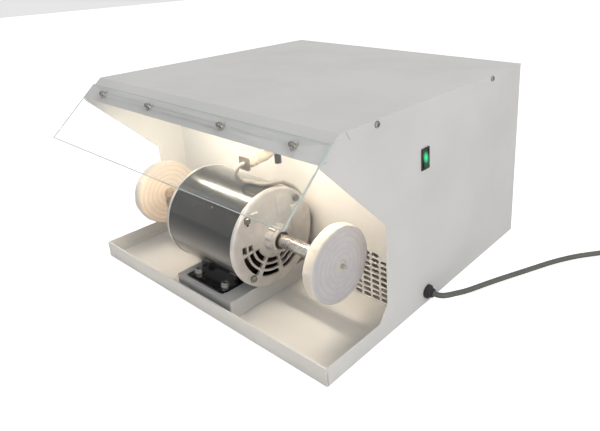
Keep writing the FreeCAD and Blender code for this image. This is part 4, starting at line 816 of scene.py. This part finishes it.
def hex_bolt(radius, height):
    """A hexagon head with a washer face, chamfered corners and a dished top, standing on the origin."""
    head = drum("hex_bolt", (0, 0, height / 2), radius, height, 6)
    top_steps = [(radius * 0.12, radius * 0.08), (radius * 0.35, 0.0), (radius * 0.1, -radius * 0.1)]
    rounded(stepped_face(head, (0, 0, 1), top_steps), radius * 0.05, 2)
    flange = drum("bolt_flange", (0, 0, radius * 0.09), radius * 1.15, radius * 0.18, 32)
    rounded(flange, radius * 0.05, 2)
    return joined("hex_bolt", [head, flange])


def pan_head(radius, height):
    """A domed screw head with a cross recess, standing on the origin."""
    dome = domed(ball("pan_head", radius, 32, 16), 0)
    dome.scale = (1, 1, height / radius)
    settle(dome)
    long_arm = Vector((radius * 0.55, radius * 0.13, height * 0.6))
    wide_arm = Vector((long_arm.y, long_arm.x, long_arm.z))
    top = Vector((0, 0, height))
    cross = joined("cross", [block("arm_long", top - long_arm, top + long_arm),
                             block("arm_wide", top - wide_arm, top + wide_arm)])
    modifier(dome, "BOOLEAN", operation="DIFFERENCE", object=cross, solver="EXACT", use_self=True)
    bpy.data.objects.remove(cross)
    return shaded(dome, 40)


def cap_nut(radius, height):
    """A small dome nut on a hexagon, standing on the origin."""
    base = drum("cap_base", (0, 0, height * 0.3), radius, height * 0.6, 6)
    rounded(base, radius * 0.06, 2)
    dome = ball("cap_dome", radius * 0.78, 24, 12, (0, 0, height * 0.5))
    settle(dome)
    shaded(domed(dome, height * 0.4), 40)
    return joined("cap_nut", [base, dome])


def islands(node):
    """The lowest and highest corners of each separate solid of a node."""
    mesh = bmesh.new()
    mesh.from_mesh(nodes[node].data)
    bmesh.ops.remove_doubles(mesh, verts=mesh.verts, dist=SAME_PLACE)
    waiting = set(mesh.verts)
    boxes = []
    while waiting:
        group = [waiting.pop()]
        for vert in group:
            for edge in vert.link_edges:
                other = edge.other_vert(vert)
                if other in waiting:
                    waiting.remove(other)
                    group.append(other)
        low = Vector([min(vert.co[axis] for vert in group) for axis in range(3)])
        high = Vector([max(vert.co[axis] for vert in group) for axis in range(3)])
        boxes.append((low, high))
    mesh.free()
    return sorted(boxes, key=lambda pair: tuple(round(v, 5) for v in (*pair[0], *pair[1])))


def foot_bolt_heads():
    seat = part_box("foot_washers")[1].z
    places = []
    for index, (low, high) in enumerate(islands("foot_bolts")):
        centre = (low + high) / 2
        places.append((Vector((centre.x, centre.y, seat)), Euler((0, 0, 0.4 + index * 0.7))))
    feet = repeated("foot_bolt_hexagons", hex_bolt(*FOOT_HEAD), places)
    dressed(feet, FINISHES["zinc_screws"], "cabinet")


def cabinet_screw_heads():
    """The cover's screws on both sides and the rear panel's, told apart by which way they lie."""
    side_places = []
    rear_places = []
    for low, high in islands("cabinet_screws"):
        centre = (low + high) / 2
        if high.y - low.y < REAR_SCREW_DEPTH:
            rear_places.append((Vector((centre.x, low.y, centre.z)), Euler((-math.pi / 2, SCREW_TURN, 0))))
        else:
            out = 1 if centre.x > 0 else -1
            wall = cabinet_high.x if centre.x > 0 else cabinet_low.x
            turn = Euler((SCREW_TURN, out * math.pi / 2, 0))
            side_places.append((Vector((wall, centre.y, centre.z)), turn))
    sides = repeated("cover_screw_heads", pan_head(*COVER_HEAD), side_places)
    dressed(sides, BURNISHED, "cabinet")
    backs = repeated("rear_screw_heads", pan_head(*REAR_HEAD), rear_places)
    dressed(backs, FINISHES["zinc_screws"], "cabinet")


def shield_nuts():
    slope = Euler((BROW_SLOPE, 0, 0))
    lift = slope.to_matrix() @ Vector((0, 0, 1)) * 0.7 * MM
    places = [((low + high) / 2 + lift, slope) for low, high in islands("shield_washers")]
    dressed(repeated("shield_cap_nuts", cap_nut(*SHIELD_NUT), places), BURNISHED, "cabinet")


def bell_bolt_heads():
    places = []
    for low, high in islands("through_bolts"):
        centre = (low + high) / 2
        for out in (1, -1):
            place = Vector((out * bell_face, centre.y, centre.z))
            places.append((place, Euler((BOLT_TURN, out * math.pi / 2, 0))))
    dressed(repeated("bell_bolt_hexagons", hex_bolt(*BELL_HEAD), places), BURNISHED, "cabinet")


def fasteners():
    foot_bolt_heads()
    cabinet_screw_heads()
    shield_nuts()
    bell_bolt_heads()


# Motor shell and bells: rivets by millimetres across and degrees round the shell, pads and holes by
# millimetres back and up from the shaft

SEAM_ANGLE = math.radians(131)
RIVETS = ((-28, 142), (17, 137), (-28, 38), (17, 43))
PAD_HEIGHT = 2.2 * MM
BELL_PADS = (((10, 34), (31, 72), True), ((40, -12), (64, 44), True), ((-44, 52), (-30, 60), False))
BLIND_HOLES = ((-52, 44), (57, -4), (50, -50), (62, 38), (58, 32))


def on_shell(across, angle, out=0.0):
    reach = shell_radius + out
    return Vector((across, shaft.y + reach * math.cos(angle), shaft.z + reach * math.sin(angle)))


def lap_seam():
    """The lap of the rolled shell."""
    length = (shell_high.x - shell_low.x) - 1 * MM
    half = Vector((length / 2, 4 * MM, 0))
    lap = block("shell_lap", Vector((0, 0, -0.4 * MM)) - half, Vector((0, 0, 0.55 * MM)) + half)
    rounded(lap, 0.3 * MM, 2)
    turn = Matrix.Rotation(SEAM_ANGLE - math.pi / 2, 4, "X")
    lap.matrix_world = Matrix.Translation(on_shell(0, SEAM_ANGLE)) @ turn
    settle(lap)
    dressed(lap, FINISHES["black_shell"], "cabinet")


def rivets():
    """Low heads, sunk a little into the shell."""
    head = domed(ball("rivet", 2.3 * MM, 20, 10), 0)
    head.scale = (1, 1, 0.45)
    settle(head)
    shaded(head, 40)
    places = []
    for across, degrees in RIVETS:
        angle = math.radians(degrees)
        places.append((on_shell(across * MM, angle, -0.2 * MM), Euler((angle - math.pi / 2, 0, 0))))
    dressed(repeated("shell_rivets", head, places), RIVET_PAINT, "cabinet")


def cast_pad(name, side, near, far, sloped):
    """A raised pad between two corners of a bell's face, one of its corners cut off if it is sloped."""
    inner = bell_face * side - side * 1 * MM
    top = bell_face * side + side * PAD_HEIGHT
    low = Vector((min(inner, top), shaft.y + near[0] * MM, shaft.z + near[1] * MM))
    high = Vector((max(inner, top), shaft.y + far[0] * MM, shaft.z + far[1] * MM))
    pad = block(name, low, high)
    if sloped:
        cut(pad, (0, high.y - 6 * MM, high.z), (0, 1, 1), clear_outer=True, use_fill=True)
    return rounded(pad, 1.2 * MM)


def bell_details():
    """Raised pads on the face of each end bell, and near-black discs of painted shade where it has blind
    holes.
    """
    pads = []
    holes = []
    for side in (-1, 1):
        for index, (near, far, sloped) in enumerate(BELL_PADS):
            pads.append(cast_pad(f"pad_{side}_{index}", side, near, far, sloped))
        across = bell_face * side + side * 0.1 * MM
        for y, z in BLIND_HOLES:
            place = (across, shaft.y + y * MM, shaft.z + z * MM)
            # Each blind hole is a shallow near-black disc of painted shade.
            holes.append(drum("blind_hole", place, 2.2 * MM, 0.5 * MM, 20, "x"))
    dressed(joined("bell_pads", pads), FINISHES["cast_bell"], "cabinet")
    dressed(joined("bell_hole_shade_discs", holes), HOLE_SHADE_PAINT, "cabinet")


# Lamp, gland and plug

LAMP_CAP_LENGTH = 11 * MM
LAMP_CAP_INSET = 6 * MM
GLAND_NUT_RADIUS = 11.4 * MM
GLAND_NUT_LENGTH = 5.2 * MM
PLUG_RIBS = 6
PLUG_RIB_PITCH = 3 * MM
PLUG_RIB_HALF = Vector((0.7, 0.8, 8.5)) * MM


def lamp_details():
    """Metal caps at both ends of the lamp tube."""
    low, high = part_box("lamp_tube")
    radius = (high.z - low.z) / 2
    centre = (low + high) / 2
    caps = []
    for side in (-1, 1):
        end = centre.x + side * ((high.x - low.x) / 2 - LAMP_CAP_INSET)
        cap = drum("lamp_cap", (end, centre.y, centre.z), radius + 0.5 * MM, LAMP_CAP_LENGTH, 40, "x")
        stepped_face(cap, (-side, 0, 0), [(0.4 * MM, 0.4 * MM)])
        caps.append(rounded(cap, 0.4 * MM))
    dressed(joined("lamp_caps", caps), FINISHES["fan_aluminium"], "cabinet")


def on_a_rib(face):
    """Whether a face on the nut's rim is on one of its ribs."""
    step = round(math.degrees(math.atan2(face.normal.z, face.normal.y)) / 7.5)
    return abs(face.normal.x) < 0.3 and step % 4 < 2


def gland_details():
    """A ribbed nut behind the gland's cone."""
    centre = middle("cord_gland")
    wall = cabinet_high.x - 1.5 * MM
    place = (wall + GLAND_NUT_LENGTH / 2, centre.y, centre.z)
    nut = drum("gland_nut", place, GLAND_NUT_RADIUS, GLAND_NUT_LENGTH, 48, "x")
    stepped_face(nut, (1, 0, 0), [(1.2 * MM, 0.8 * MM)])
    choose(nut, "faces", on_a_rib)
    bpy.ops.mesh.inset(thickness=0.1 * MM, depth=0.7 * MM)
    done(nut)
    dressed(rounded(nut, 0.25 * MM, 2), FINISHES["black_plastic"], "cabinet")


def plug_details():
    """Finger ribs on both sides of the moulded plug."""
    low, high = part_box("plug_body")
    centre = (low + high) / 2
    ribs = []
    for side in (-1, 1):
        for index in range(PLUG_RIBS):
            across = high.x - 7 * MM - index * PLUG_RIB_PITCH
            place = Vector((across, centre.y + side * (high.y - low.y) / 2, centre.z))
            ribs.append(rounded(block("rib", place - PLUG_RIB_HALF, place + PLUG_RIB_HALF), 0.4 * MM, 2))
    dressed(joined("plug_finger_ribs", ribs), FINISHES["grey_lead"], "cabinet")


# Room, lights and camera

def studio_floor():
    """A white floor that shows evenly bright to the camera, and straight through the glass."""
    nothing_selected()
    bpy.ops.mesh.primitive_plane_add(size=12, location=(0, 0, -0.4 * MM))
    floor = started("studio_floor")
    paint = new_finish("studio_white", (0.82, 0.82, 0.82), 0.8)
    tree = paint.node_tree
    path = tree.nodes.new("ShaderNodeLightPath")
    shown = reckoned(tree, "MAXIMUM", path.outputs["Is Camera Ray"], path.outputs["Is Transmission Ray"])
    tree.links.new(shown, shader_of(paint).inputs["Emission Strength"])
    shader_of(paint).inputs["Emission Color"].default_value = (0.66, 0.66, 0.66, 1)
    floor.data.materials.append(paint)


def studio_walls():
    """White all round: full to the eye, in mirrors and through glass, and softer as light."""
    world = bpy.data.worlds.new("studio_world")
    bpy.context.scene.world = world
    world.use_nodes = True
    tree = world.node_tree
    plain = tree.nodes["Background"]
    plain.inputs["Color"].default_value = (1, 1, 1, 1)
    plain.inputs["Strength"].default_value = 0.5
    seen = tree.nodes.new("ShaderNodeBackground")
    seen.inputs["Strength"].default_value = 1.0
    path = tree.nodes.new("ShaderNodeLightPath")
    views = path.outputs["Is Camera Ray"]
    for ray in ("Is Glossy Ray", "Is Transmission Ray"):
        views = reckoned(tree, "MAXIMUM", views, path.outputs[ray])
    mix = tree.nodes.new("ShaderNodeMixShader")
    tree.links.new(views, mix.inputs["Fac"])
    tree.links.new(plain.outputs["Background"], mix.inputs[1])
    tree.links.new(seen.outputs["Background"], mix.inputs[2])
    tree.links.new(mix.outputs["Shader"], tree.nodes["World Output"].inputs["Surface"])


def lamp(name, place, aim, width, height, power, colour=(1, 1, 1)):
    light = bpy.data.lights.new(name, "AREA")
    light.shape = "RECTANGLE"
    light.size = width
    light.size_y = height
    light.energy = power
    light.color = colour
    holder = bpy.data.objects.new(name, light)
    bpy.context.scene.collection.objects.link(holder)
    holder.location = place
    holder.rotation_euler = (Vector(aim) - Vector(place)).to_track_quat("-Z", "Y").to_euler()


def lights():
    machine = (0, 0, 0.2)
    lamp("side_softbox", (2.6, -0.5, 1.3), machine, 1.6, 1.4, 24)
    lamp("overhead_softbox", (-0.2, 0.2, 2.6), machine, 2.0, 2.0, 11)
    lamp("front_fill", (0.4, -2.6, 0.9), machine, 1.6, 1.0, 5)
    tube = middle("lamp_tube")
    lamp("hood_lamp", tube - Vector((0, 0, 10 * MM)), tube - Vector((0, -0.05, 0.4)), 0.4, 0.016, 1.5,
         (1.0, 0.86, 0.68))


EYE = Vector((756.8, -720.3, 575.7)) * MM
RIGHT = Vector((0.78494, 0.61907, -0.02486))
DOWN = Vector((0.18692, -0.27487, -0.94314))
FORWARD = Vector((-0.5907, 0.73566, -0.33148))
LENS = 33.37
AXIS_PIXEL = (380.08, 144.8)
PHOTO = (600, 431)


def camera():
    data = bpy.data.cameras.new("photo_camera")
    data.sensor_width = 36
    data.lens = LENS
    data.shift_x = 0.5 - AXIS_PIXEL[0] / PHOTO[0]
    data.shift_y = (AXIS_PIXEL[1] - PHOTO[1] / 2) / PHOTO[0]
    data.clip_start = 0.05
    holder = bpy.data.objects.new("photo_camera", data)
    bpy.context.scene.collection.objects.link(holder)
    turn = Matrix((RIGHT, -DOWN, -FORWARD)).transposed()
    holder.matrix_world = Matrix.Translation(EYE) @ turn.to_4x4()
    bpy.context.scene.camera = holder


camera()
plug_details()
flexes()
soft_edges()
buff("left", -1, LEFT_MUSLIN, 11)
buff("right", 1, FINISHES["muslin"], 23)
fasteners()
lap_seam()
rivets()
bell_details()
lamp_details()
gland_details()
studio_floor()
studio_walls()
lights()
bpy.context.scene.view_settings.view_transform = "Standard"
